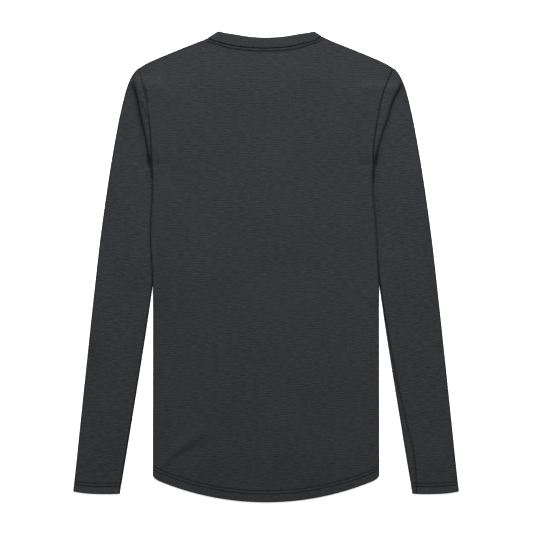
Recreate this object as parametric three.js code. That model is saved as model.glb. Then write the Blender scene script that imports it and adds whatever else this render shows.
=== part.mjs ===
// Long-sleeved base layer top in fine rib knit, laid flat on its front with the back up.
// X runs across, towards the wearer's right; Y runs up to the neck; Z is up from the surface it lies on.
import * as THREE from "three";

// Driving sizes, in millimetres.
const WALL = 1.2; // thickness of one layer of cloth
const SEAM_GAP = 0.3; // clearance between pieces, and between layers that lie on each other
const HEM_WALL = 1.6; // cloth turned up on itself
const BAND_WALL = 1.7; // neck band, a folded strip
const HEM_DEPTH = 17.5;
const CUFF_DEPTH = 16.4;
const TURN_WIDTH = 1.7; // width over which a turned-up edge thickens
const HEM_LOW_Y = -364.65; // middle of the curved hem
const HEM_RADIUS = 438;
const HEM_CORNER = { width: 8, height: 5 }; // rounding where the hem meets the side
const SHOULDER_TIP = { x: 196.9, y: 306.4 };
const ARMPIT_Y = 147;
const TUBE_TOP_Y = 146.4; // first section of the sleeve that is closed at the underarm seam
const SIDE_END_Y = -322;
const CUFF_Y = -352;
const OVERLAP_END_Y = -32; // below this the sleeve lies clear of the body
const FOLD_RETURN = 1.5; // depth that the sleeve is tucked under its own strip
const BODY_LOFT = 1.2; // how far the upper layer of the body stands off in its middle
const BODY_LOFT_FADE = { side: 80, hem: 70, top: 90 }; // width over which it comes down to each edge
const SLEEVE_LOFT = 1.2;
const SLEEVE_LOFT_FADE = { width: 60, cuff: 40, margin: 2 };
const OVERLAP_FADE = 30; // length over which the body comes down below the overlap
const ARMPIT_RISE = 9; // length over which the front climbs on the sleeve below the armpit
const HEM_CURVE_REACH = 300; // height above the hem where the rows of cloth start to follow its curve
const SHOULDER_WRAP = { y: 280, length: 28, drop: 2 }; // where the sleeve's rows tilt round the shoulder
const CUFF_BOW = { middle: 243, outer: 55, outerRise: 4.2, inner: 16, innerRise: 0.8, fade: 60 };
const EDGE_RAMP = 24; // width over which the body comes down from the sleeve that it lies on
const EDGE_SHELF = 6; // least width of the raised edge beside an armhole
const SHELF_MARGIN = 7; // raised cloth past the hidden underarm fold
const NECK_CENTRE_Y = 357.3;
const NECK_HALF_WIDTH = 85.3; // seam of the neck band at the shoulder
const FRONT_DROP = 85.3; // seam of the neck band at the centre front
const COLLAR_END = { x: 74.8, y: 363.4 }; // free edge of the band at the shoulder
const FRONT_EDGE_DROP = 76.4; // free edge of the band at the centre front
const NECK_LIFT_SPAN = { x: 92, y: 68, centreY: 335, fade: 0.4 }; // where the back lies on the front band

// Half width of the body at each height: the armhole seam above the armpit, and the side fold below it.
const BODY_EDGE = [
  { y: 308.5, left: 196.9, right: 196.9 },
  { y: 296, left: 194.2, right: 191.7 },
  { y: 280, left: 190.4, right: 184.6 },
  { y: 259, left: 185.4, right: 178.0 },
  { y: 231, left: 181.4, right: 172.7 },
  { y: 205, left: 178.8, right: 168.4 },
  { y: 175, left: 177.2, right: 165.4 },
  { y: 147, left: 175.8, right: 165.2 },
  { y: 119, left: 175.8, right: 165.4 },
  { y: 73, left: 178.4, right: 169.2 },
  { y: 45, left: 178.6, right: 171.2 },
  { y: 0, left: 176.4, right: 173.4 },
  { y: -36, left: 175.1, right: 175.1 },
  { y: -322, left: 175.1, right: 175.1 },
];
// Half width of the whole garment at each height of the sleeve's outer fold.
const SLEEVE_OUTER = [
  { y: 308.5, x: 196.9 },
  { y: 305.4, x: 200.3 },
  { y: 289.9, x: 210.9 },
  { y: 274.4, x: 216.9 },
  { y: 258.9, x: 221.0 },
  { y: 227.9, x: 227.8 },
  { y: 165.9, x: 238.9 },
  { y: 103.9, x: 248.4 },
  { y: 41.9, x: 256.9 },
  { y: -20.1, x: 263.9 },
  { y: -237.1, x: 286.8 },
  { y: -352, x: 298.2 },
];
// Underarm fold of the sleeve, hidden under the body down to the end of the overlap.
const SLEEVE_INNER = [
  { y: 146.4, left: 176.5, right: 165.9 },
  { y: 139, left: 176.4, right: 165.8 },
  { y: 131, left: 170.0, right: 162.0 },
  { y: 119, left: 161.0, right: 158.0 },
  { y: 104, left: 156.0, right: 155.6 },
  { y: 80, left: 158.6, right: 158.6 },
  { y: -29.4, left: 175.9, right: 175.9 },
  { y: -352, left: 226.8, right: 226.8 },
];
// Width of the sleeve strip between the armhole seam and the fold, and the degrees that the fold turns.
const ARMHOLE_FOLD = [
  { y: 308.5, leftWidth: 0.2, leftAngle: 0, rightWidth: 0.2, rightAngle: 0 },
  { y: 299, leftWidth: 4, leftAngle: 0, rightWidth: 4, rightAngle: 0 },
  { y: 288, leftWidth: 10, leftAngle: 30, rightWidth: 13, rightAngle: 0 },
  { y: 275, leftWidth: 10.5, leftAngle: 80, rightWidth: 18.8, rightAngle: 60 },
  { y: 262, leftWidth: 9.6, leftAngle: 140, rightWidth: 17.4, rightAngle: 170 },
  { y: 248, leftWidth: 10, leftAngle: 180, rightWidth: 15.8, rightAngle: 180 },
  { y: 232, leftWidth: 9.8, leftAngle: 180, rightWidth: 13.6, rightAngle: 180 },
  { y: 214, leftWidth: 7.6, leftAngle: 180, rightWidth: 10.4, rightAngle: 180 },
  { y: 196, leftWidth: 5, leftAngle: 180, rightWidth: 7.6, rightAngle: 180 },
  { y: 178, leftWidth: 2.8, leftAngle: 180, rightWidth: 5, rightAngle: 180 },
  { y: 162, leftWidth: 1.2, leftAngle: 150, rightWidth: 2.2, rightAngle: 150 },
  { y: 147, leftWidth: 0.2, leftAngle: 90, rightWidth: 0.2, rightAngle: 90 },
];
// How far the underarm seam lies over the top of the sleeve, measured from the middle of the underarm fold.
const UNDERARM_SEAM = [
  { y: 146.4, left: 1.3, right: 1.3 },
  { y: -29, left: 1.3, right: 1.8 },
  { y: -160, left: 1.3, right: 4.4 },
  { y: -246, left: 1.3, right: 9.7 },
  { y: -285, left: 1.3, right: 12.6 },
  { y: -327, left: 1.3, right: 10.0 },
  { y: -352, left: 1.3, right: 6.4 },
];
// Shoulder line, from the neck to the tip.
const SHOULDER_LINE = [
  { x: 85, y: 359.0 },
  { x: 92, y: 355.0 },
  { x: 98.8, y: 351.9 },
  { x: 129.8, y: 339.5 },
  { x: 159.9, y: 327.1 },
  { x: 174.5, y: 320.9 },
  { x: 187.3, y: 314.7 },
  { x: 196.9, y: 308.4 },
];
// Neck band at the back: its seam and its free edge, from the centre to the shoulder.
const NECK_BACK = [
  { seamX: 0, seamY: 340.0, edgeX: 0, edgeY: 355.1 },
  { seamX: 25, seamY: 340.6, edgeX: 22.5, edgeY: 356.3 },
  { seamX: 48, seamY: 342.5, edgeX: 43, edgeY: 358.8 },
  { seamX: 66.5, seamY: 346.2, edgeX: 59, edgeY: 361.5 },
  { seamX: 77, seamY: 351.0, edgeX: 68, edgeY: 362.6 },
  { seamX: NECK_HALF_WIDTH, seamY: NECK_CENTRE_Y, edgeX: COLLAR_END.x, edgeY: COLLAR_END.y },
];

// Heights of the cross sections.
const ARMHOLE_ROWS = [306.4, 297, 284, 268, 252, 234, 212, 190, 168, 148];
const OVERLAP_ROWS = [TUBE_TOP_Y, 139, 131, 119, 104, 70, 30, -5, -32];
const BODY_ROWS = [-46, -62, -150, -240, -302.8, -304.5, SIDE_END_Y];
const SLEEVE_ROWS = [-80, -140, -200, -255, -305, -333.9, -335.6, CUFF_Y];
const SLEEVE_TOP_ROW = 308;
const FRONT_NECK_ANGLES = [90, 70, 50, 32, 15, 0];
const SHOULDER_COLUMNS = [86.8, 96, 114, 136, 158, 176, 188];
const CURL_STEPS = 3;
const OUTER_FOLD_STEPS = 5;
const UNDERARM_FOLD_STEPS = 5;
const STRIP_STEPS = 2;
const TUCK_STEPS = 3;
const UPPER_STEPS = 3;
const LOWER_STEPS = 2;
const STRIP_TAIL = 2; // flat cloth just past the armhole fold
const SEAM_MARGIN = 15; // upper layer beside the underarm seam, which has closer columns
const LOWER_INSET = 5; // lower layer beside the underarm fold, which has closer columns
const LAST_SHARE = 0.8; // part of the stretch up to the underarm seam that the fold's columns take
const EVENING = 0.2; // share of equal spacing among the columns of the armhole fold
const BAND_FOLD_STEPS = 5;
const BAND_STEPS = 2;
const RIGHT_ANGLE = Math.PI / 2;
const CURL_ROOM = WALL + SEAM_GAP / 2; // from a folded edge back to where its turn starts

// A smooth curve through the rows of a table that never overshoots them: cubic pieces with limited slopes.
function through(rows, across, up) {
  const points = rows.map((row) => [row[across], row[up]]).sort((a, b) => a[0] - b[0]);
  const secants = points.slice(1).map((p, i) => (p[1] - points[i][1]) / (p[0] - points[i][0]));
  const slopes = points.map((_, i) => {
    if (i === 0) return secants[0];
    if (i === points.length - 1) return secants[i - 1];
    const product = secants[i - 1] * secants[i];
    return product <= 0 ? 0 : (2 * product) / (secants[i - 1] + secants[i]);
  });
  return (at) => {
    const t = THREE.MathUtils.clamp(at, points[0][0], points[points.length - 1][0]);
    const last = points.length - 2;
    const found = points.findIndex((p, i) => i <= last && t <= points[i + 1][0]);
    const i = found < 0 ? last : found;
    const width = points[i + 1][0] - points[i][0];
    const s = (t - points[i][0]) / width;
    const rise = (3 * s * s - 2 * s * s * s) * (points[i + 1][1] - points[i][1]);
    const bend = width * (slopes[i] * s * (1 - s) * (1 - s) - slopes[i + 1] * s * s * (1 - s));
    return points[i][1] + rise + bend;
  };
}

const bodyEdge = { left: through(BODY_EDGE, "y", "left"), right: through(BODY_EDGE, "y", "right") };
const sleeveOuter = through(SLEEVE_OUTER, "y", "x");
const sleeveInner = {
  left: through(SLEEVE_INNER, "y", "left"),
  right: through(SLEEVE_INNER, "y", "right"),
};
const stripWidth = {
  left: through(ARMHOLE_FOLD, "y", "leftWidth"),
  right: through(ARMHOLE_FOLD, "y", "rightWidth"),
};
const foldDegrees = {
  left: through(ARMHOLE_FOLD, "y", "leftAngle"),
  right: through(ARMHOLE_FOLD, "y", "rightAngle"),
};
const underarmSeam = {
  left: through(UNDERARM_SEAM, "y", "left"),
  right: through(UNDERARM_SEAM, "y", "right"),
};
const shoulderLine = through(SHOULDER_LINE, "x", "y");

// 0 below zero, 1 above one, and a smooth rise between.
const smooth = (t) => THREE.MathUtils.smoothstep(t, 0, 1);

// Middle of the lower and upper layers where two layers of this thickness lie on each other.
const lowerLevel = (wall) => wall / 2;
const upperLevel = (wall) => wall * 1.5 + SEAM_GAP;
const foldRadius = (wall) => (wall + SEAM_GAP) / 2;

// Thickness of cloth at a distance from an edge that is turned up by a depth.
const turnedWall = (distance, depth) =>
  WALL + (HEM_WALL - WALL) * (1 - smooth((distance - depth) / TURN_WIDTH + 1));

// Height that the armhole fold lifts the strip, and with it the back panel's edge.
function foldLift(side, y) {
  const angle = THREE.MathUtils.degToRad(foldDegrees[side](y));
  const reach = FOLD_RETURN * smooth(angle / RIGHT_ANGLE);
  return 2 * foldRadius(WALL) * (1 - Math.cos(angle)) + reach * Math.sin(angle);
}

const OVERLAP_LIFT = 2 * (WALL + SEAM_GAP);
const overlapFade = (y) => smooth((y - OVERLAP_END_Y + OVERLAP_FADE) / OVERLAP_FADE);
const backLift = (side, y) => (y > ARMPIT_Y ? foldLift(side, y) : OVERLAP_LIFT * overlapFade(y));
const frontLift = (y) => OVERLAP_LIFT * overlapFade(y) * smooth((ARMPIT_Y + 1 - y) / ARMPIT_RISE);

// 1 where the body lies on the sleeve or beside its fold, falling to 0 towards the middle.
function edgeShelf(side, x, y) {
  const hidden = bodyEdge[side](y) - sleeveInner[side](Math.min(y, TUBE_TOP_Y));
  const shelf = Math.max(EDGE_SHELF, hidden + SHELF_MARGIN);
  return 1 - smooth((bodyEdge[side](y) - Math.abs(x) - shelf) / EDGE_RAMP);
}

// Height of the hem's edge: an arc that is rounded off where it meets the side.
function hemLine(x) {
  const across = Math.min(Math.abs(x), bodyEdge.left(SIDE_END_Y));
  const arc = HEM_LOW_Y + HEM_RADIUS - Math.sqrt(HEM_RADIUS ** 2 - across ** 2);
  const past = Math.max(0, across - bodyEdge.left(SIDE_END_Y) + HEM_CORNER.width) / HEM_CORNER.width;
  return arc + HEM_CORNER.height * (1 - Math.sqrt(Math.max(0, 1 - past * past)));
}

// Where the back lies on the front neck band, it is lifted by the band's extra thickness.
function neckLift(x, y) {
  const away = Math.hypot(x / NECK_LIFT_SPAN.x, (y - NECK_LIFT_SPAN.centreY) / NECK_LIFT_SPAN.y);
  return (BAND_WALL - WALL) * (1 - smooth((away - 1) / NECK_LIFT_SPAN.fade));
}

// How far the middle of the back stands off the front, nothing along every edge.
function bodyLoft(side, x, y) {
  const fromSide = smooth((bodyEdge[side](y) - Math.abs(x)) / BODY_LOFT_FADE.side);
  const fromHem = smooth((y - hemLine(x) - HEM_DEPTH) / BODY_LOFT_FADE.hem);
  const fromTop = smooth((shoulderLine(Math.abs(x)) - y) / BODY_LOFT_FADE.top);
  return BODY_LOFT * fromSide * fromHem * fromTop;
}

// Middle surface of a body panel away from its curled edges.
function panelHeight(face, side, x, y) {
  const wall = turnedWall(y - hemLine(x), HEM_DEPTH);
  const shelf = edgeShelf(side, x, y);
  if (face === "front") return lowerLevel(wall) + frontLift(y) * shelf;
  return upperLevel(wall) + backLift(side, y) * shelf + neckLift(x, y) + bodyLoft(side, x, y);
}

// A closed wall from two grids of points, rows by columns, with its four rims. A ring has no end rims.
function wallGeometry(outer, inner, ring = false) {
  const rows = outer.length;
  const columns = outer[0].length;
  const positions = [...outer.flat(), ...inner.flat()].flat();
  const at = (layer, j, i) => layer * rows * columns + j * columns + (i % columns);
  const faces = [];
  const quad = (a, b, c, d) => faces.push(a, b, c, a, c, d);
  const spans = ring ? columns : columns - 1;
  for (let j = 0; j < rows - 1; j += 1) {
    for (let i = 0; i < spans; i += 1) {
      quad(at(0, j, i), at(0, j, i + 1), at(0, j + 1, i + 1), at(0, j + 1, i));
      quad(at(1, j, i), at(1, j + 1, i), at(1, j + 1, i + 1), at(1, j, i + 1));
    }
  }
  for (let i = 0; i < spans; i += 1) {
    quad(at(0, 0, i), at(1, 0, i), at(1, 0, i + 1), at(0, 0, i + 1));
    quad(at(0, rows - 1, i), at(0, rows - 1, i + 1), at(1, rows - 1, i + 1), at(1, rows - 1, i));
  }
  for (let j = 0; j < rows - 1 && !ring; j += 1) {
    quad(at(0, j, 0), at(0, j + 1, 0), at(1, j + 1, 0), at(1, j, 0));
    const end = columns - 1;
    quad(at(0, j, end), at(1, j, end), at(1, j + 1, end), at(0, j + 1, end));
  }
  if (enclosed(positions, faces) < 0) faces.reverse();
  const geometry = new THREE.BufferGeometry();
  geometry.setAttribute("position", new THREE.Float32BufferAttribute(positions, 3));
  geometry.setIndex(faces);
  geometry.computeVertexNormals();
  return geometry;
}

// Signed volume of a triangle mesh, negative when its faces point inwards.
function enclosed(positions, faces) {
  const corner = (k) => new THREE.Vector3().fromArray(positions, 3 * faces[k]);
  let volume = 0;
  for (let k = 0; k < faces.length; k += 3) {
    volume += corner(k).dot(corner(k + 1).cross(corner(k + 2))) / 6;
  }
  return volume;
}

// Points of a path of straight and round legs in a cross section, at given distances along it.
// Each leg has a length and the angle that it turns; each point has the path's left-hand normal.
function walk(start, legs, stations) {
  const knots = [];
  let { across, up, heading } = start;
  let travelled = 0;
  for (const leg of legs) {
    knots.push({ across, up, heading, travelled, ...leg });
    const end = advance({ across, up, heading }, leg, leg.length);
    across = end.across;
    up = end.up;
    heading += leg.turn;
    travelled += leg.length;
  }
  return stations.map((distance) => {
    const past = knots.filter((knot) => knot.travelled <= distance + 1e-9);
    const knot = past[past.length - 1];
    const point = advance(knot, knot, distance - knot.travelled);
    const along = knot.length > 0 ? (distance - knot.travelled) / knot.length : 0;
    const facing = knot.heading + knot.turn * along;
    return { ...point, leg: knots.indexOf(knot), outAcross: -Math.sin(facing), outUp: Math.cos(facing) };
  });
}

function advance(from, leg, distance) {
  const bend = leg.length > 0 ? leg.turn / leg.length : 0;
  if (Math.abs(bend) < 1e-9) {
    return {
      across: from.across + distance * Math.cos(from.heading),
      up: from.up + distance * Math.sin(from.heading),
    };
  }
  const heading = from.heading + bend * distance;
  return {
    across: from.across + (Math.sin(heading) - Math.sin(from.heading)) / bend,
    up: from.up - (Math.cos(heading) - Math.cos(from.heading)) / bend,
  };
}

// Equal shares from 0 to 1.
const shares = (count) => Array.from({ length: count + 1 }, (_, i) => i / count);

// Distances from one place on a path to another, in equal steps, without the first place.
const steps = (from, to, count) =>
  Array.from({ length: count }, (_, i) => from + ((to - from) * (i + 1)) / count);

// Pulls the stations towards equal spacing, so that no two coincide where a leg has no length.
function spread(stations) {
  const first = stations[0];
  const whole = stations[stations.length - 1] - first;
  const even = (i) => first + (whole * i) / (stations.length - 1);
  return stations.map((station, i) => (1 - EVENING) * station + EVENING * even(i));
}

// Cross section of a sleeve above the armpit: strip, fold, upper layer, outer fold and lower layer.
function armholeSection(side, y, outerY) {
  const radius = foldRadius(WALL);
  const slope = (sleeveOuter(outerY - 1) - sleeveOuter(outerY + 1)) / 2;
  const stretch = Math.hypot(1, slope);
  const edge = bodyEdge[side](y) + SEAM_GAP / 2;
  const angle = THREE.MathUtils.degToRad(foldDegrees[side](y));
  const reach = FOLD_RETURN * smooth(angle / RIGHT_ANGLE);
  const foldStart = sleeveOuter(outerY) - (WALL / 2 + radius) * stretch;
  const foldWidth = 2 * radius * Math.sin(angle) + reach * Math.cos(angle);
  const strip = Math.min(stripWidth[side](y), (foldStart - edge) / 3);
  const main = foldStart - edge - strip - foldWidth;
  const legs = [
    { length: strip, turn: 0 },
    { length: radius * angle, turn: -angle },
    { length: reach, turn: 0 },
    { length: radius * angle, turn: angle },
    { length: main, turn: 0 },
    { length: Math.PI * radius, turn: -Math.PI },
    { length: foldStart - edge, turn: 0 },
  ];
  const ends = [0];
  legs.forEach((leg) => ends.push(ends[ends.length - 1] + leg.length));
  const tail = ends[4] + Math.min(STRIP_TAIL, main / 3);
  const near = spread([
    0,
    ...steps(0, ends[1], STRIP_STEPS),
    ...steps(ends[1], ends[2], TUCK_STEPS),
    ends[3],
    ...steps(ends[3], ends[4], TUCK_STEPS),
    tail,
  ]);
  const inset = Math.min(LOWER_INSET, (ends[7] - ends[6]) / 2);
  const stations = [
    ...near,
    ...steps(tail, ends[5], UPPER_STEPS),
    ...steps(ends[5], ends[6], OUTER_FOLD_STEPS),
    ...steps(ends[6], ends[7] - inset, LOWER_STEPS),
    ...steps(ends[7] - inset, ends[7], UNDERARM_FOLD_STEPS + 2),
  ];
  const start = { across: edge, up: upperLevel(WALL) + foldLift(side, y), heading: 0 };
  return { points: walk(start, legs, stations), outerLeg: 5, foldStart, stretch, wall: WALL };
}

// Cross section of a sleeve below the armpit: once round from the underarm seam and back to it.
function tubeSection(side, y) {
  const wall = turnedWall(y - CUFF_Y, CUFF_DEPTH);
  const radius = foldRadius(wall);
  const quarter = radius * RIGHT_ANGLE;
  const seam = underarmSeam[side](y);
  const foldStart = sleeveOuter(y) - wall / 2 - radius;
  const foldEnd = sleeveInner[side](y) + wall / 2 + radius;
  const flat = foldStart - foldEnd;
  const round = 2 * flat + 4 * quarter;
  const legs = [
    { length: quarter, turn: -RIGHT_ANGLE },
    { length: flat, turn: 0 },
    { length: 2 * quarter, turn: -Math.PI },
    { length: flat, turn: 0 },
    { length: 2 * quarter, turn: -Math.PI },
    { length: flat, turn: 0 },
  ];
  const first = seam + SEAM_GAP / 2;
  const tail = first + SEAM_MARGIN;
  const last = round + seam - SEAM_GAP / 2;
  const lower = round - quarter;
  const top = Math.min(round + quarter, round + (last - round) * LAST_SHARE);
  const stations = [
    first,
    ...steps(first, tail, STRIP_STEPS + 2 * TUCK_STEPS + 2),
    ...steps(tail, quarter + flat, UPPER_STEPS),
    ...steps(quarter + flat, 3 * quarter + flat, OUTER_FOLD_STEPS),
    ...steps(3 * quarter + flat, lower - LOWER_INSET, LOWER_STEPS),
    lower,
    ...steps(lower, top, UNDERARM_FOLD_STEPS),
    last,
  ];
  const start = { across: foldEnd - radius, up: lowerLevel(wall) + radius, heading: RIGHT_ANGLE };
  return { points: walk(start, legs, stations), outerLeg: 2, foldStart, stretch: 1, wall };
}

// The cuff's edge, higher at its outer corner than at its middle.
function cuffBow(x, y) {
  const near = smooth((CUFF_Y + CUFF_BOW.fade - y) / CUFF_BOW.fade);
  const outwards = Math.max(0, x - CUFF_BOW.middle) / CUFF_BOW.outer;
  const inwards = Math.max(0, CUFF_BOW.middle - x) / CUFF_BOW.inner;
  return near * (CUFF_BOW.outerRise * outwards ** 4 + CUFF_BOW.innerRise * inwards ** 2);
}

// How far the middle of a sleeve's upper layer stands off the lower one.
function sleeveLoft(side, point, section, y) {
  const hiddenEdge = sleeveInner[side](Math.min(y, TUBE_TOP_Y));
  const nearEdge = Math.max(hiddenEdge, bodyEdge[side](y)) + SLEEVE_LOFT_FADE.margin;
  const edge = y > ARMPIT_Y ? nearEdge + stripWidth[side](y) : nearEdge;
  const share = (point.across - edge) / (section.foldStart - edge);
  if (share <= 0 || share >= 1 || point.up < upperLevel(section.wall) - 0.01) return 0;
  const fromWidth = smooth((section.foldStart - edge) / SLEEVE_LOFT_FADE.width);
  const fromCuff = smooth((y - CUFF_Y - CUFF_DEPTH) / SLEEVE_LOFT_FADE.cuff);
  return SLEEVE_LOFT * fromWidth * fromCuff * Math.sin(Math.PI * share) ** 2;
}

// One row of a sleeve's outer or inner surface.
function sleeveRow(side, sign, y, face) {
  const top = y > ARMPIT_Y;
  const tilt = smooth((y - SHOULDER_WRAP.y) / SHOULDER_WRAP.length);
  const outerY = top ? y - SHOULDER_WRAP.drop * tilt : y;
  const section = top ? armholeSection(side, y, outerY) : tubeSection(side, y);
  const out = (face * section.wall) / 2;
  return section.points.map((point) => {
    const offset = point.across + out * point.outAcross - section.foldStart;
    const across = section.foldStart + offset * (point.leg === section.outerLeg ? section.stretch : 1);
    const share = (across - bodyEdge[side](y)) / (sleeveOuter(outerY) - bodyEdge[side](y));
    const drop = top ? (outerY - y) * THREE.MathUtils.clamp(share, 0, 1) : cuffBow(across, y);
    const up = point.up + out * point.outUp + sleeveLoft(side, point, section, y);
    return [sign * across, y + drop, up];
  });
}

function sleeve(side, sign) {
  const rows = [SLEEVE_TOP_ROW, ...ARMHOLE_ROWS, ...OVERLAP_ROWS, ...SLEEVE_ROWS];
  const surface = (face) => rows.map((y) => sleeveRow(side, sign, y, face));
  return wallGeometry(surface(1), surface(-1));
}

// Seam of the neck band at the back, as a line across the garment.
const backSeamLine = through(NECK_BACK, "seamX", "seamY");

// Columns of a body panel along its top edge, for positive X: the neckline, then the shoulder.
// The room is the depth over which a column turns down to the shoulder seam, or goes flat to the neckline.
function topColumns(face) {
  const shoulder = [...SHOULDER_COLUMNS, SHOULDER_TIP.x].map((x) => {
    const slope = (shoulderLine(x + 1) - shoulderLine(x - 1)) / 2;
    const stretch = Math.hypot(1, slope);
    return { x, y: shoulderLine(x), stretch, room: CURL_ROOM * stretch, curls: true };
  });
  const flat = { stretch: 1, room: CURL_ROOM, curls: false };
  if (face === "back") {
    const neck = NECK_BACK.map(({ seamX }) => {
      const slope = (backSeamLine(seamX + 1) - backSeamLine(seamX - 1)) / 2;
      return { x: seamX, y: backSeamLine(seamX) - SEAM_GAP * Math.hypot(1, slope), ...flat };
    });
    return [...neck, ...shoulder];
  }
  const neck = FRONT_NECK_ANGLES.map((degrees) => {
    const angle = THREE.MathUtils.degToRad(degrees);
    const x = (NECK_HALF_WIDTH + SEAM_GAP) * Math.cos(angle);
    return { x, y: NECK_CENTRE_Y - (FRONT_DROP + SEAM_GAP) * Math.sin(angle), ...flat };
  });
  return [...neck, ...shoulder];
}

// A quarter turn towards the seam between two panels, and the straight drop after it.
function curl(share, radius, depth) {
  const quarter = radius * RIGHT_ANGLE;
  const gone = share * (quarter + Math.max(0, depth - radius));
  const angle = Math.min(gone / radius, RIGHT_ANGLE);
  const drop = Math.min(radius, depth) * (1 - Math.cos(angle)) + Math.max(0, gone - quarter);
  return { out: radius * Math.sin(angle), drop, angle };
}

// Half a row of a panel in plan, from the centre to the edge. The last columns are those of the side's curl.
function panelPlan(columns, side, sign, y, topShare) {
  const edge = bodyEdge[side](y);
  const tip = columns[columns.length - 1];
  const fromTop = ((y - SIDE_END_Y) / (SHOULDER_TIP.y - SIDE_END_Y)) ** 2;
  const fromHem = smooth(-y / HEM_CURVE_REACH);
  const inner = columns.slice(0, -1).map((column) => {
    const share = column.x / SHOULDER_TIP.x;
    const x = column.x - (SHOULDER_TIP.x - edge + CURL_ROOM) * share ** 4;
    const top = column.y - column.room - (tip.y - tip.room);
    const rowY = y + fromTop * top + fromHem * (hemLine(x) - SIDE_END_Y);
    return { x: sign * x, y: rowY, sideShare: 0, topShare, column };
  });
  const curls = shares(CURL_STEPS).map((sideShare) => ({
    x: sign * (edge - CURL_ROOM),
    y,
    sideShare,
    topShare,
    column: tip,
    atSide: true,
  }));
  return [...inner, ...curls].map((place) => ({ ...place, side, sign, rowY: y }));
}

// A point of a panel's outer or inner surface.
function panelPoint(face, place, layer) {
  const up = face === "back" ? 1 : -1;
  const { x, y, side, sign, column } = place;
  const wall = turnedWall(y - hemLine(x), HEM_DEPTH);
  const radius = foldRadius(wall);
  const apart = panelHeight("back", side, x, y) - panelHeight("front", side, x, y);
  const height = panelHeight(face, side, x, y);
  const offset = (layer * wall) / 2;
  if (place.topShare > 0 && column.curls) {
    const turned = curl(place.topShare, radius, (apart - SEAM_GAP) / 2);
    const across = place.atSide ? (CURL_ROOM - SEAM_GAP / 2) * place.sideShare : 0;
    const out = turned.out + offset * Math.sin(turned.angle);
    const z = height - up * turned.drop + up * offset * Math.cos(turned.angle);
    return [x + sign * across, y + out * column.stretch, z];
  }
  const flatY = y + column.room * place.topShare;
  if (!place.atSide) return [x, flatY, height + up * offset];
  if (place.rowY > ARMPIT_Y) {
    return [x + sign * (CURL_ROOM - SEAM_GAP / 2) * place.sideShare, flatY, height + up * offset];
  }
  const turned = curl(place.sideShare, radius, (apart - SEAM_GAP) / 2);
  const out = turned.out + offset * Math.sin(turned.angle) + CURL_ROOM - wall / 2 - radius;
  return [x + sign * out, y, height - up * turned.drop + up * offset * Math.cos(turned.angle)];
}

function bodyPanel(face) {
  const columns = topColumns(face);
  const curlRows = shares(CURL_STEPS).reverse().map((share) => [SHOULDER_TIP.y, share]);
  const flatRows = [...ARMHOLE_ROWS.slice(1), ...OVERLAP_ROWS, ...BODY_ROWS].map((y) => [y, 0]);
  const rows = [...curlRows, ...flatRows];
  const surface = (layer) =>
    rows.map(([y, topShare]) => {
      const left = panelPlan(columns, "left", -1, y, topShare);
      const right = panelPlan(columns, "right", 1, y, topShare);
      return [...left.reverse(), ...right.slice(1)].map((place) => panelPoint(face, place, layer));
    });
  return wallGeometry(surface(1), surface(-1));
}

// Half of the neck band's ring, from the centre back round the shoulder fold to the centre front.
function bandHalf(sign) {
  const radius = foldRadius(BAND_WALL);
  const end = NECK_BACK[NECK_BACK.length - 1];
  const foldLine = new THREE.Vector2(end.edgeX - end.seamX, end.edgeY - end.seamY).normalize();
  const outwards = new THREE.Vector2(foldLine.y, -foldLine.x);
  const place = (seam, edge, up, out, outUp) => ({ seam, edge, up, out, outUp });
  const back = NECK_BACK.map((row) =>
    place([row.seamX, row.seamY], [row.edgeX, row.edgeY], upperLevel(BAND_WALL), [0, 0], 1),
  );
  const turn = steps(0, Math.PI, BAND_FOLD_STEPS).slice(0, -1).map((angle) => {
    const shift = outwards.clone().multiplyScalar(radius * Math.sin(angle));
    const facing = outwards.clone().multiplyScalar(Math.sin(angle)).toArray();
    const up = lowerLevel(BAND_WALL) + radius * (1 + Math.cos(angle));
    const seam = [end.seamX + shift.x, end.seamY + shift.y];
    return place(seam, [end.edgeX + shift.x, end.edgeY + shift.y], up, facing, Math.cos(angle));
  });
  const front = [...FRONT_NECK_ANGLES].reverse().map((degrees) => {
    const angle = THREE.MathUtils.degToRad(degrees);
    const seamY = NECK_CENTRE_Y - FRONT_DROP * Math.sin(angle);
    const seam = [NECK_HALF_WIDTH * Math.cos(angle), seamY];
    const edge = [COLLAR_END.x * Math.cos(angle), COLLAR_END.y - FRONT_EDGE_DROP * Math.sin(angle)];
    return place(seam, edge, lowerLevel(BAND_WALL), [0, 0], -1);
  });
  return [...back, ...turn, ...front].map((p) => ({ ...p, sign }));
}

function neckBand() {
  const right = bandHalf(1);
  const left = bandHalf(-1).slice(1, -1).reverse();
  const surface = (layer) =>
    shares(BAND_STEPS).map((share) =>
      [...right, ...left].map(({ seam, edge, up, out, outUp, sign }) => {
        const offset = (layer * BAND_WALL) / 2;
        const x = seam[0] + (edge[0] - seam[0]) * share + offset * out[0];
        const y = seam[1] + (edge[1] - seam[1]) * share + offset * out[1];
        return [sign * x, y, up + offset * outUp];
      }),
    );
  return wallGeometry(surface(1), surface(-1), true);
}

const cloth = (color) => new THREE.MeshStandardMaterial({ color, roughness: 0.95, metalness: 0 });

const top = new THREE.Group();
function piece(name, geometry, color) {
  const mesh = new THREE.Mesh(geometry, cloth(color));
  mesh.name = name;
  top.add(mesh);
}

piece("back_panel", bodyPanel("back"), 0x36373a);
piece("front_panel", bodyPanel("front"), 0x36373a);
piece("sleeve_left", sleeve("left", -1), 0x343537);
piece("sleeve_right", sleeve("right", 1), 0x343537);
piece("neck_band", neckBand(), 0x3a3b3e);

export default top;
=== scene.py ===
"""Long-sleeved base layer top in fine rib knit, laid flat on its front with the back up.

Sizes are in millimetres, as the pattern gives them, and become metres when a mesh is made. X runs across,
towards the wearer's right; Y runs up to the neck; Z is up from the surface that the top lies on.
"""

import logging
import math
from dataclasses import dataclass, field
from enum import Enum

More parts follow.
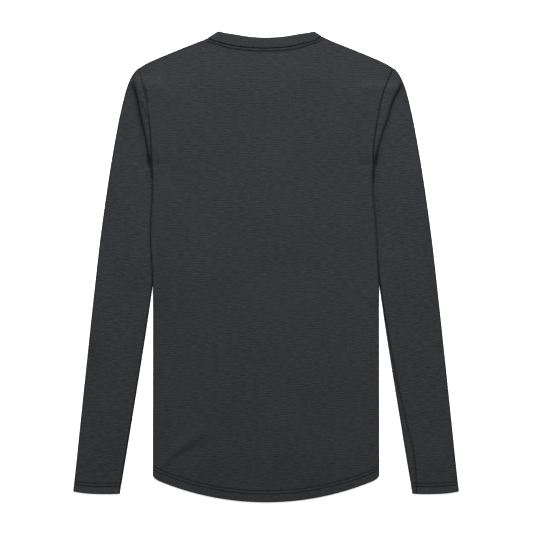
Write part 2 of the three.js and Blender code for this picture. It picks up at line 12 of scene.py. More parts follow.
import bpy
import numpy as np
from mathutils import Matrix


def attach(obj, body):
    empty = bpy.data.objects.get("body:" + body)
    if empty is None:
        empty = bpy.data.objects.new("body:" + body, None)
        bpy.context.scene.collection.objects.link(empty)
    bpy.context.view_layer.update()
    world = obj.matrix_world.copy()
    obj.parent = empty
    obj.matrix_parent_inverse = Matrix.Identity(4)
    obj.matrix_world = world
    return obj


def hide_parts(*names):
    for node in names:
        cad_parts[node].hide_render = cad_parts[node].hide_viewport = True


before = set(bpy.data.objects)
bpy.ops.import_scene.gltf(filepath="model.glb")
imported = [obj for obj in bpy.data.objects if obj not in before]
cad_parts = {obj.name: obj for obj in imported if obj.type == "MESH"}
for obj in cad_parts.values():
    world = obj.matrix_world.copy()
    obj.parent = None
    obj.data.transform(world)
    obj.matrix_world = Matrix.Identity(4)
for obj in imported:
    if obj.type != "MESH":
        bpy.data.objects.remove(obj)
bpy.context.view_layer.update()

log = logging.getLogger("base layer top")
Array = np.ndarray
Rows = dict[str, Array]
Place = tuple[float, float]
Scale = tuple[float, float, float]
MM = 0.001
TINY = 1e-9
Socket = bpy.types.NodeSocket
Object = bpy.types.Object
Material = bpy.types.Material
UPWARD = np.array([0.0, 0.0, 1.0])


class Side(Enum):
    """The wearer's sides, as the sign of X with the back up."""

    LEFT = -1
    RIGHT = 1


class Face(Enum):
    """The two body panels, as the direction in which each faces."""

    BACK = 1
    FRONT = -1


def smooth(t: Array | float) -> Array:
    """0 below zero, 1 above one, and a smooth rise between: 3t squared less 2t cubed."""
    s = np.clip(t, 0.0, 1.0)
    return s * s * (3.0 - 2.0 * s)


def bell(distance: Array | float, width: Array | float) -> Array:
    """1 at no distance, falling off as the exponential of minus the square of distance over width."""
    return np.exp(-np.square(np.asarray(distance) / width))


def along_line(start: Place, end: Place, x: Array, y: Array) -> tuple[Array, Array]:
    """How places lie on the line between two others.

    Args:
        start: place where the line starts.
        end: place where it ends.
        x: places across the garment.
        y: places along it.

    Returns:
        Their share of the way along the line, which is the dot product over its squared length, and their
        distance to its left, which is the cross product over its length.
    """
    dx, dy = end[0] - start[0], end[1] - start[1]
    length = math.hypot(dx, dy)
    along = ((x - start[0]) * dx + (y - start[1]) * dy) / length**2
    off = ((y - start[1]) * dx - (x - start[0]) * dy) / length
    return along, off


@dataclass(frozen=True)
class Table:
    """A smooth curve through the rows of a table that never overshoots them."""

    at: tuple[float, ...]
    value: tuple[float, ...]

    def __call__(self, t: Array | float) -> Array:
        """Cubic pieces whose inner slopes are the harmonic means of the slopes on both sides.

        Args:
            t: places along the table, held within its ends.

        Returns:
            The curve's values there.
        """
        x, y = np.asarray(self.at, float), np.asarray(self.value, float)
        secant = np.diff(y) / np.diff(x)
        product = secant[:-1] * secant[1:]
        total = np.where(product > 0, secant[:-1] + secant[1:], 1.0)
        slope = np.concatenate(([secant[0]], np.where(product > 0, 2 * product / total, 0.0), [secant[-1]]))
        t = np.clip(t, x[0], x[-1])
        i = np.clip(np.searchsorted(x, t, side="left") - 1, 0, len(x) - 2)
        width = x[i + 1] - x[i]
        s = (t - x[i]) / width
        rise = (3 * s**2 - 2 * s**3) * (y[i + 1] - y[i])
        return y[i] + rise + width * (slope[i] * s * (1 - s) ** 2 - slope[i + 1] * s**2 * (1 - s))

    def stretch(self, t: Array | float) -> Array:
        """Length of the curve for each millimetre of t: the hypotenuse of 1 and its slope over 2 mm."""
        return np.hypot(1, (self(t + 1) - self(t - 1)) / 2)


@dataclass(frozen=True)
class Pair:
    """A table for each side of the garment."""

    left: Table
    right: Table

    def __call__(self, sign: Array | float, y: Array | float) -> Array:
        """The left table's value where the sign is negative, and the right one's elsewhere."""
        return np.where(np.asarray(sign) < 0, self.left(y), self.right(y))


def pair(at: tuple[float, ...], left: tuple[float, ...], right: tuple[float, ...]) -> Pair:
    """Two tables that share their rows."""
    return Pair(Table(at, left), Table(at, right))


@dataclass(frozen=True)
class Crease:
    """One soft fold in the cloth, between two places, with a trough beside it."""

    start: Place
    end: Place
    height: float
    width: float
    bow: float = 0.0
    trough: float = 0.5
    phase: float = 0.0

    def field(self, x: Array, y: Array) -> Array:
        """A bell across the fold less a wider bell beside it, eased at both ends and uneven along it.

        Args:
            x: places across the garment.
            y: places along it.

        Returns:
            The height that the fold adds at each place.
        """
        along, off = along_line(self.start, self.end, x, y)
        off = off - 4 * self.bow * along * (1 - along)
        width = self.width * (0.8 + 0.4 * np.clip(along, 0, 1))
        ends = smooth(along / 0.3) * smooth((1 - along) / 0.45)
        uneven = 1 + 0.22 * np.sin(9.0 * along + self.phase) + 0.1 * np.sin(23.0 * along + 2 * self.phase)
        profile = bell(off, width) - self.trough * bell(off + 1.5 * width, 1.3 * width)
        return self.height * profile * ends * uneven


@dataclass(frozen=True)
class TuckShade:
    """Painted shade along a short line where the cloth is tucked in."""

    start: Place
    end: Place
    width: float = 1.7
    strength: float = 0.7

    def field(self, x: Array, y: Array) -> Array:
        """A bell of the distance to the line between two places, eased at both ends."""
        along, off = along_line(self.start, self.end, x, y)
        return self.strength * bell(off, self.width) * smooth(along / 0.25) * smooth((1 - along) / 0.15)


@dataclass(frozen=True)
class Pull:
    """A place where all the layers are pulled aside in plan.

    Centre is where the pull is strongest, reach says how fast it falls off across and up, and shift is how
    far it moves the cloth at its centre, across and up.
    """

    centre: Place
    reach: Place
    shift: Place


PULLS = (
    Pull(centre=(-206.0, 300.0), reach=(9.0, 12.0), shift=(-0.5, 0.3)),
    Pull(centre=(204.0, 302.0), reach=(9.0, 10.0), shift=(0.5, 0.4)),
    Pull(centre=(-45.0, 361.0), reach=(22.0, 6.0), shift=(0.0, 0.7)),
    Pull(centre=(45.0, 361.0), reach=(22.0, 6.0), shift=(0.0, 0.7)),
    Pull(centre=(-87.0, 354.0), reach=(10.5, 10.0), shift=(-5.2, -3.3)),
    Pull(centre=(-75.0, 364.0), reach=(8.0, 6.0), shift=(2.0, 1.7)),
    Pull(centre=(0.0, 340.2), reach=(42.0, 4.0), shift=(0.0, -1.3)),
    Pull(centre=(60.0, 343.5), reach=(18.0, 9.0), shift=(0.0, 2.2)),
    Pull(centre=(75.0, 364.0), reach=(8.0, 6.0), shift=(-0.6, 1.1)),
)


def pulled(points: Array) -> Array:
    """Points in metres after the pulls, which lay the collar a little askew and round the shoulders.

    Each pull moves a point by its shift times a bell of the distance across and one of the distance up. All
    pieces go through the same pulls, so their layers stay as far apart in height as before.

    Args:
        points: points in metres, one row each.

    Returns:
        The moved points.
    """
    moved = points.astype(float)
    for pull in PULLS:
        weight = bell(points[:, 0] / MM - pull.centre[0], pull.reach[0])
        weight = weight * bell(points[:, 1] / MM - pull.centre[1], pull.reach[1])
        moved[:, :2] += weight[:, None] * np.array(pull.shift) * MM
    return moved


def creases_at(creases: tuple[Crease, ...], x: Array, y: Array) -> Array:
    """The sum of the heights of several folds."""
    total = np.zeros(np.broadcast(x, y).shape)
    for crease in creases:
        total = total + crease.field(x, y)
    return total


def soft_floor(value: Array, least: Array | float, blend: float = 0.25) -> Array:
    """The mean of a value and a least one, plus half the hypotenuse of their difference and a blend."""
    return 0.5 * (value + least + np.sqrt((value - least) ** 2 + blend**2))


@dataclass(frozen=True)
class Cut:
    """Sizes that the pieces of the top share, and how its layers lie on each other."""

    wall: float = 1.2
    gap: float = 0.3
    hem_wall: float = 1.6
    band_wall: float = 1.7
    hem_depth: float = 17.5
    cuff_depth: float = 16.4
    turn_width: float = 1.7
    hem_low_y: float = -364.35
    hem_radius: float = 433.0
    hem_corner: Place = (11.0, 5.5)
    tip: Place = (196.9, 306.4)
    armpit_y: float = 147.0
    tube_top_y: float = 146.4
    side_end_y: float = -322.0
    cuff_y: float = -351.7
    overlap_end_y: float = -40.0
    overlap_fade: float = 30.0
    armpit_rise: float = 9.0
    fold_return: float = 1.5
    hem_curve_reach: float = 300.0
    edge_ramp: float = 24.0
    edge_shelf: float = 6.0
    shelf_margin: float = 7.0
    body_edge: Pair = pair(
        (-322, -36, 0, 45, 73, 119, 147, 175, 205, 231, 259, 280, 296, 308.5),
        (175.5, 175.1, 176.4, 178.6, 178.4, 175.8, 175.8, 177.2, 178.8, 181.4, 185.4, 190.4, 194.2, 196.9),
        (175.5, 175.1, 173.4, 171.2, 169.2, 165.4, 165.2, 165.4, 168.4, 172.7, 178.0, 184.6, 191.7, 196.9),
    )
    sleeve_outer: Table = Table(
        (-352, -237.1, -20.1, 41.9, 103.9, 165.9, 227.9, 258.9, 274.4, 289.9, 305.4, 308.5),
        (298.9, 287.2, 264.2, 257.1, 248.7, 239.2, 228.0, 221.0, 216.9, 210.9, 200.3, 196.9),
    )
    sleeve_inner: Pair = pair(
        (-352, -240, -100, -50, -29.4, 80, 104, 119, 131, 139, 146.4),
        (226.3, 207.9, 185.6, 178.2, 175.4, 158.6, 156.0, 161.0, 170.0, 175.4, 175.6),
        (226.3, 207.9, 185.6, 178.2, 175.4, 158.6, 155.6, 158.0, 162.0, 164.9, 165.0),
    )
    strip_width: Pair = pair(
        (147, 162, 178, 196, 214, 232, 248, 262, 275, 288, 299, 308.5),
        (0.2, 1.6, 3.2, 5.2, 7.4, 9.4, 10.2, 10.6, 10.4, 9.2, 4, 0.2),
        (0.2, 1.6, 4.4, 7.4, 10.2, 13.2, 15.0, 17.2, 19.2, 17, 6, 0.2),
    )
    fold_degrees: Pair = pair(
        (147, 152, 160, 168, 178, 196, 214, 232, 248, 262, 275, 288, 299, 308.5),
        (0, 22, 58, 92, 128, 165, 180, 180, 180, 180, 150, 80, 20, 0),
        (0, 22, 58, 92, 128, 165, 180, 180, 180, 180, 150, 26, 0, 0),
    )
    armhole_roll: float = 1.3
    loose_share: float = 0.62
    loose_from_y: float = 226.0
    tuck_shades: tuple[TuckShade, ...] = (
        TuckShade((-189.5, 286.0), (-180.6, 251.0)),
        TuckShade((-194.5, 261.0), (-181.5, 229.0)),
        TuckShade((-182.5, 178.0), (-176.2, 141.0), strength=0.8),
        TuckShade((171.5, 178.0), (166.0, 141.0), strength=0.8),
    )
    underarm_seam: Pair = pair(
        (-352, -327, -285, -246, -160, -29, 146.4),
        (1.3, 1.3, 1.3, 1.3, 1.3, 1.3, 1.3),
        (6.4, 10.0, 12.6, 9.7, 4.4, 1.8, 1.3),
    )
    shoulder_line: Table = Table(
        (85, 92, 98.8, 129.8, 159.9, 174.5, 187.3, 196.9),
        (359.0, 355.0, 351.9, 339.5, 327.1, 320.9, 314.7, 308.4),
    )
    neck_seam: Table = Table((0, 25, 48, 66.5, 77, 85.3), (340.0, 340.6, 342.5, 346.2, 351.0, 357.3))
    neck_stitch: Table = Table(
        (0, 6.3, 23.3, 38.8, 54.8, 66, 76, 84, 92, 96),
        (334.2, 334.3, 335.2, 336.6, 338.9, 341.9, 346.0, 350.2, 353.6, 354.8),
    )
    neck_centre_y: float = 357.3
    neck_half_width: float = 85.3
    front_drop: float = 85.3
    neck_middle_y: float = 335.0
    neck_reach: Place = (92.0, 68.0)
    neck_fade: float = 0.4
    collar_end: Place = (74.8, 363.4)

    @property
    def curl_room(self) -> float:
        """From a folded edge back to where its turn starts: a wall and half a gap."""
        return self.wall + self.gap / 2

    def lower(self, wall: Array | float) -> Array:
        """Middle of the lower of two layers: half a wall."""
        return np.asarray(wall) / 2

    def upper(self, wall: Array | float) -> Array:
        """Middle of the upper of two layers: one and a half walls and a gap."""
        return np.asarray(wall) * 1.5 + self.gap

    def fold_radius(self, wall: Array | float) -> Array:
        """Radius of the middle of a fold between two layers: half of a wall and a gap."""
        return (np.asarray(wall) + self.gap) / 2

    def turned_wall(self, distance: Array, depth: float) -> Array:
        """Thickness at a distance from an edge turned up by a depth, easing down over the turn's width."""
        inside = 1 - smooth((distance - depth) / self.turn_width + 1)
        return self.wall + (self.hem_wall - self.wall) * inside

    def fold_lift(self, sign: Array | float, y: Array) -> Array:
        """Height gained over an armhole fold: two rolls times 1 less the cosine, and its straight part."""
        angle = np.radians(self.fold_degrees(sign, y))
        reach = self.fold_return * smooth(angle / (math.pi / 2))
        return 2 * self.armhole_roll * (1 - np.cos(angle)) + reach * np.sin(angle)

    def overlap_lift(self, y: Array) -> Array:
        """Height of two layers of sleeve under the body's edge, fading below the end of the overlap."""
        fade = smooth((y - self.overlap_end_y + self.overlap_fade) / self.overlap_fade)
        return 2 * (self.wall + self.gap) * fade

    def edge_lift(self, sign: Array | float, y: Array) -> Array:
        """Height of the back's edge over its lowest: the armhole fold's, or the armpit's where higher."""
        armpit = 2 * (self.wall + self.gap) * (1 - smooth((y - self.armpit_y) / 26))
        above = soft_floor(self.fold_lift(sign, y), armpit)
        return np.where(y > self.armpit_y, above, self.overlap_lift(y))

    def slack_lift(self, sign: Array | float, y: Array) -> Array:
        """Height at which a sleeve starts beside the back's edge, less what its fold takes up."""
        above = self.edge_lift(sign, y) - self.fold_lift(sign, y)
        below = 2 * (self.wall + self.gap) * smooth((y - self.armpit_y + 19) / 19)
        return np.where(y > self.armpit_y, above, below)

    def seam_strength(self, sign: Array | float, y: Array) -> Array:
        """1 where the armhole's seam is drawn tight, less where the left one lies loose under its tucks."""
        return 1 - self.loose_share * smooth((y - self.loose_from_y) / 14) * (np.asarray(sign) < 0)

    def tuck_shade(self, x: Array, y: Array) -> Array:
        """Painted shade of the tucks beside the armhole's seam: the sum of their fields."""
        return sum(tuck.field(x, y) for tuck in self.tuck_shades)

    def from_side(self, sign: Array | float, x: Array, y: Array) -> Array:
        """Distance in from the body's side edge."""
        return self.body_edge(sign, y) - np.abs(x)

    def shelf(self, sign: Array | float, x: Array, y: Array) -> Array:
        """1 along the raised edge of the body, falling smoothly to 0 over the ramp towards the middle."""
        edge = self.body_edge(sign, y)
        hidden = edge - self.sleeve_inner(sign, np.minimum(y, self.tube_top_y))
        flat = np.maximum(self.edge_shelf, hidden + self.shelf_margin)
        return 1 - smooth((edge - np.abs(x) - flat) / self.edge_ramp)

    def hem_line(self, x: Array) -> Array:
        """Height of the hem's edge: a circle's arc, rounded up by a quarter ellipse at each corner."""
        side = self.body_edge(-1, self.side_end_y)
        across = np.minimum(np.abs(x), side)
        arc = self.hem_low_y + self.hem_radius - np.sqrt(self.hem_radius**2 - across**2)
        past = np.maximum(0, across - side + self.hem_corner[0]) / self.hem_corner[0]
        return arc + self.hem_corner[1] * (1 - np.sqrt(np.maximum(0, 1 - past**2)))

    def neck_lift(self, x: Array, y: Array) -> Array:
        """The band's extra thickness inside an ellipse round the neck, fading outside it."""
        across, along = self.neck_reach
        away = np.hypot(x / across, (y - self.neck_middle_y) / along)
        return (self.band_wall - self.wall) * (1 - smooth((away - 1) / self.neck_fade))


def edge_round(distance: Array, wall: Array | float, least: float = 0.16) -> Array:
    """Share of the full thickness near a rounded edge, which is a half circle as deep as half the wall.

    Args:
        distance: distance in from the edge.
        wall: full thickness.
        least: share that is kept at the very edge.

    Returns:
        Shares from the least to 1.
    """
    left = 1 - np.clip(np.asarray(distance) / (np.asarray(wall) / 2), 0, 1)
    return np.maximum(least, np.sqrt(np.maximum(0, 1 - left**2)))


@dataclass
class Wall:
    """A closed wall of cloth between two grids of points, rows by columns, with its rims.

    The fifth grid is painted shade on each point, from 0 to 1: darker along seams and lines of stitches,
    partly for their dark thread and partly for the shade in their grooves, and along folds, tucks and rounded
    edges. It is a little below 0 where the cloth is turned up and is painted lighter.
    """

    outer: Array
    inner: Array
    across: Array
    along: Array
    stitching_and_shade: Array
    ring: bool = False

    def _quads(self) -> tuple[Array, Array]:
        """Corner numbers of each quad, and the same corners' numbers in the pattern's grid.

        Cell (j, i) joins rows j and j + 1 and columns i and i + 1. A ring's last column joins its first.

        Returns:
            Two arrays of four numbers a quad.
        """
        rows, columns = self.outer.shape[:2]
        spans = columns if self.ring else columns - 1
        wide = spans + 1

        def at(layer: int, j: Array, i: Array) -> tuple[Array, Array]:
            """Numbers of a grid point: in the mesh, and in the pattern."""
            return layer * rows * columns + j * columns + i % columns, j * wide + i

        def cells(j: Array, i: Array, corners: list[tuple[int, int, int]]) -> tuple[Array, Array]:
            """Quads at cells (j, i), with each corner given as layer, row step and column step."""
            found = [at(layer, j + dj, i + di) for layer, dj, di in corners]
            return (
                np.stack([a.ravel() for a, _ in found], axis=1),
                np.stack([b.ravel() for _, b in found], axis=1),
            )

        j, i = np.meshgrid(np.arange(rows - 1), np.arange(spans), indexing="ij")
        across = np.arange(spans)
        down = np.arange(rows - 1)
        top, bottom = np.zeros_like(across), np.full_like(across, rows - 1)
        parts = [
            cells(j, i, [(0, 0, 0), (0, 0, 1), (0, 1, 1), (0, 1, 0)]),
            cells(j, i, [(1, 0, 0), (1, 1, 0), (1, 1, 1), (1, 0, 1)]),
            cells(top, across, [(0, 0, 0), (1, 0, 0), (1, 0, 1), (0, 0, 1)]),
            cells(bottom, across, [(0, 0, 0), (0, 0, 1), (1, 0, 1), (1, 0, 0)]),
        ]
        if not self.ring:
            first, last = np.zeros_like(down), np.full_like(down, columns - 1)
            parts.append(cells(down, first, [(0, 0, 0), (0, 1, 0), (1, 1, 0), (1, 0, 0)]))
            parts.append(cells(down, last, [(0, 0, 0), (1, 0, 0), (1, 1, 0), (0, 1, 0)]))
        return np.concatenate([a for a, _ in parts]), np.concatenate([b for _, b in parts])

    def mesh(self, name: str) -> Object:
        """Makes the wall's object, facing outwards, with its pattern in metres as its UV map."""
        points = np.concatenate([self.outer.reshape(-1, 3), self.inner.reshape(-1, 3)]) * MM
        quads, pattern = self._quads()
        a, b, c, d = (points[quads[:, k]] for k in range(4))
        volume = np.sum(a * (np.cross(b, c) + np.cross(c, d)))
        if volume < 0:
            quads, pattern = quads[:, ::-1], pattern[:, ::-1]
        grid = np.stack([self.across.ravel(), self.along.ravel()], axis=1) * MM
        made = make_mesh(name, points, quads, grid[pattern.ravel()])
        # Painted shade on each point, the same on both surfaces, for the material to darken the colour with.
        stitching_and_shade = np.concatenate([self.stitching_and_shade.ravel(), self.stitching_and_shade.ravel()]).astype(np.float32)
        made.data.attributes.new("stitching_and_shade", "FLOAT", "POINT").data.foreach_set("value", stitching_and_shade)
        return made


def make_mesh(name: str, points: Array, faces: Array, uv: Array | None = None) -> Object:
    """Makes a smooth mesh object from whole arrays.

    Args:
        name: the object's name.
        points: corners in metres, one row each.
        faces: corner numbers, one row of a fixed length for each face.
        uv: UV of each face corner in turn.

    Returns:
        The new object, linked to the scene.
    """
    mesh = bpy.data.meshes.new(name)
    mesh.vertices.add(len(points))
    mesh.vertices.foreach_set("co", np.ascontiguousarray(pulled(points), dtype=np.float32).ravel())
    mesh.loops.add(faces.size)
    mesh.loops.foreach_set("vertex_index", np.ascontiguousarray(faces, dtype=np.int32).ravel())
    mesh.polygons.add(len(faces))
    mesh.polygons.foreach_set("loop_start", np.arange(0, faces.size, faces.shape[1], dtype=np.int32))
    mesh.polygons.foreach_set("use_smooth", np.ones(len(faces), dtype=bool))
    mesh.update(calc_edges=True)
    if uv is not None:
        layer = mesh.uv_layers.new(name="Cloth")
        layer.data.foreach_set("uv", np.ascontiguousarray(uv, dtype=np.float32).ravel())
    made = bpy.data.objects.new(name, mesh)
    bpy.context.scene.collection.objects.link(made)
    return made


class NodeBuilder:
    """Short calls for making and joining the nodes of one material."""

    def __init__(self, name: str) -> None:
        """Starts a material with only its shader and output."""
        self.material = bpy.data.materials.new(name)
        self.material.use_nodes = True
        self.tree = self.material.node_tree
        self.tree.nodes.clear()
        self.shader = self.tree.nodes.new("ShaderNodeBsdfPrincipled")
        output = self.tree.nodes.new("ShaderNodeOutputMaterial")
        self.join(self.shader.outputs["BSDF"], output.inputs["Surface"])

    def join(self, start: Socket, end: Socket) -> None:
        """Links an output to an input."""
        self.tree.links.new(start, end)

    def coordinates(self, kind: str) -> Socket:
        """The named output of a Texture Coordinate node."""
        return self.tree.nodes.new("ShaderNodeTexCoord").outputs[kind]

    def stretched_noise(self, vector: Socket, scale: Scale, detail: float = 2.0) -> Socket:
        """Smooth noise with a scale of its own on each axis."""
        node = self.tree.nodes.new("ShaderNodeMapping")
        node.inputs["Scale"].default_value = scale
        self.join(vector, node.inputs["Vector"])
        return self.noise(node.outputs["Vector"], 1.0, detail)

    def noise(self, vector: Socket, scale: float, detail: float) -> Socket:
        """Smooth noise of a given scale, from 0 to 1 with its mean at a half."""
        node = self.tree.nodes.new("ShaderNodeTexNoise")
        node.inputs["Scale"].default_value = scale
        node.inputs["Detail"].default_value = detail
        self.join(vector, node.inputs["Vector"])
        return node.outputs["Fac"]

    def math(self, operation: str, first: object, second: object = 0.0) -> Socket:
        """One step of arithmetic on sockets or plain numbers."""
        node = self.tree.nodes.new("ShaderNodeMath")
        node.operation = operation
        for place, value in enumerate((first, second)):
            if isinstance(value, (int, float)):
                node.inputs[place].default_value = value
            else:
                self.join(value, node.inputs[place])
        return node.outputs["Value"]

    def plus(self, first: object, second: object) -> Socket:
        """The sum of two sockets or plain numbers."""
        return self.math("ADD", first, second)

    def times(self, first: object, second: object) -> Socket:
        """The product of two sockets or plain numbers."""
        return self.math("MULTIPLY", first, second)

    def swing(self, value: Socket, gain: float) -> Socket:
        """The value less a half, times a gain."""
        return self.times(self.math("SUBTRACT", value, 0.5), gain)

    def wave(self, distance: Socket, pitch_mm: float) -> Socket:
        """A sine of a distance in metres, which repeats at a pitch."""
        return self.math("SINE", self.times(distance, 2 * math.pi / (pitch_mm * MM)))

    def mix_colours(self, share: Socket, first: object, second: Array) -> Socket:
        """A colour between two others, of which the first may be a socket."""
        node = self.tree.nodes.new("ShaderNodeMix")
        node.data_type = "RGBA"
        if isinstance(first, Socket):
            self.join(first, node.inputs["A"])
        else:
            node.inputs["A"].default_value = (*first, 1.0)
        node.inputs["B"].default_value = (*second, 1.0)
        self.join(share, node.inputs["Factor"])
        return next(o for o in node.outputs if o.type == "RGBA")

    def bump(self, height: Socket, depth_mm: float, strength: float) -> None:
        """Raises the surface by a height from 0 to 1, times a depth."""
        node = self.tree.nodes.new("ShaderNodeBump")
        node.inputs["Strength"].default_value = strength
        node.inputs["Distance"].default_value = depth_mm * MM
        self.join(height, node.inputs["Height"])
        self.join(node.outputs["Normal"], self.shader.inputs["Normal"])


@dataclass(frozen=True)
class RibKnit:
    """Matt knit of heathered yarn with fine ribs across it."""

    name: str
    colour: tuple[float, float, float]
    rib_mm: float
    rib_depth_mm: float = 0.3
    wale_mm: float = 1.05
    wander_mm: float = 1.6
    heather: float = 0.46
    rib_shade: float = 0.155
    stitching_and_shade_share: float = 0.3
    wander_scale: Scale = (24.0, 30.0, 1.0)
    patch_scale: Scale = (45.0, 70.0, 1.0)
    streak_scale: Scale = (95.0, 520.0, 1.0)
    fibre_scale: Scale = (420.0, 1500.0, 1.0)
    fleck_scale: Scale = (900.0, 900.0, 1.0)

    def build(self) -> Material:
        """Ribs are a sine of the distance along the cloth, whose phase wanders and whose strength changes
        sign in patches of noise, so that they break into short straight dashes.

        Wales are a sine across it, and the yarn's mixed fibres are noise drawn out along the courses. Where
        the painted shade of the seams, stitched lines, folds, tucks and edges lies, the colour is darker and
        the ribs are flat, and below 0 it is painted lighter.

        Returns:
            The material.
        """
        made = NodeBuilder(self.name)
        uv = made.coordinates("UV")
        apart = made.tree.nodes.new("ShaderNodeSeparateXYZ")
        made.join(uv, apart.inputs["Vector"])
        stitching_and_shade_node = made.tree.nodes.new("ShaderNodeAttribute")
        stitching_and_shade_node.attribute_name = "stitching_and_shade"
        stitching_and_shade = stitching_and_shade_node.outputs["Fac"]
        wander = made.stretched_noise(uv, self.wander_scale)
        rib = made.wave(made.plus(apart.outputs["Y"], made.times(wander, self.wander_mm * MM)), self.rib_mm)
        patch = made.plus(made.swing(made.stretched_noise(uv, self.patch_scale), 7.0), 0.34)
        patch = made.math("MINIMUM", made.math("MAXIMUM", patch, -1.0), 1.0)
        rib = made.times(rib, made.times(patch, made.math("SUBTRACT", 1.0, stitching_and_shade)))
        wale = made.wave(apart.outputs["X"], self.wale_mm)
        streaks = made.stretched_noise(uv, self.streak_scale)
        fibres = made.stretched_noise(uv, self.fibre_scale, 3.0)
        flecks = made.stretched_noise(uv, self.fleck_scale)
        patches = made.noise(made.coordinates("Object"), 9.0, 3.0)
        tone = made.plus(made.times(fibres, 0.3), made.times(flecks, 0.34))
        tone = made.plus(tone, made.times(streaks, 0.36))
        tone = made.plus(made.swing(tone, 3.6), 0.5)
        # Painted lighter where the painted shade is below 0, on the turned-up hem and cuffs.
        tone = made.math("SUBTRACT", tone, made.math("MINIMUM", stitching_and_shade, 0.0))
        tone = made.plus(tone, made.swing(patches, 0.3))
        tone = made.plus(tone, made.times(rib, self.rib_shade / self.heather / 2))
        node = made.tree.nodes.new("ShaderNodeClamp")
        made.join(tone, node.inputs["Value"])
        colour = np.array(self.colour)
        dark, light = colour * (1 - self.heather), colour * (1 + self.heather)
        shade = made.mix_colours(node.outputs["Result"], dark, light)
        # Painted shade: darker towards a share of the colour along seams, stitched lines, folds, tucks and
        # rounded edges, partly for the dark thread.
        shade = made.mix_colours(stitching_and_shade, shade, colour * self.stitching_and_shade_share)
        made.join(shade, made.shader.inputs["Base Color"])
        height = made.plus(made.times(rib, 0.3), made.times(wale, 0.12))
        height = made.plus(height, made.times(flecks, 0.35))
        height = made.plus(height, made.times(streaks, 0.45))
        made.bump(height, self.rib_depth_mm, 0.7)
        made.shader.inputs["Roughness"].default_value = 0.92
        made.shader.inputs["Specular IOR Level"].default_value = 0.1
        made.shader.inputs["Sheen Weight"].default_value = 0.02
        made.shader.inputs["Sheen Roughness"].default_value = 0.55
        return made.material


@dataclass(frozen=True)
class SewingThread:
    """Spun polyester sewing thread, twisted."""

    name: str
    colour: tuple[float, float, float]

    def build(self) -> Material:
        """A dark matt colour with noise as fine as the twist.

        Returns:
            The material.
        """
        made = NodeBuilder(self.name)
        twist = made.noise(made.coordinates("Object"), 2600.0, 2.0)
        colour = np.array(self.colour)
        made.join(made.mix_colours(twist, colour * 0.75, colour * 1.3), made.shader.inputs["Base Color"])
        made.bump(twist, 0.08, 0.6)
        made.shader.inputs["Roughness"].default_value = 0.9
        made.shader.inputs["Specular IOR Level"].default_value = 0.08
        return made.material


@dataclass(frozen=True)
class FloorPaint:
    """Matt white of the surface under the top, with a glow of its own, though it is no lamp, that washes out
    the top's shadows on it.
    """

    name: str
    colour: tuple[float, float, float]
    shadow_wash_glow: float = 0.6

    def build(self) -> Material:
        """A matt colour with a very faint unevenness.

        Returns:
            The material.
        """
        made = NodeBuilder(self.name)
        cloud = made.noise(made.coordinates("Object"), 3.0, 2.0)
        colour = np.array(self.colour)
        made.join(made.mix_colours(cloud, colour * 0.995, colour), made.shader.inputs["Base Color"])
        made.shader.inputs["Roughness"].default_value = 0.9
        # Painted light: an even glow that fills in the shadows cast on the floor.
        made.shader.inputs["Emission Color"].default_value = (1.0, 1.0, 1.0, 1.0)
        made.shader.inputs["Emission Strength"].default_value = self.shadow_wash_glow
        return made.material


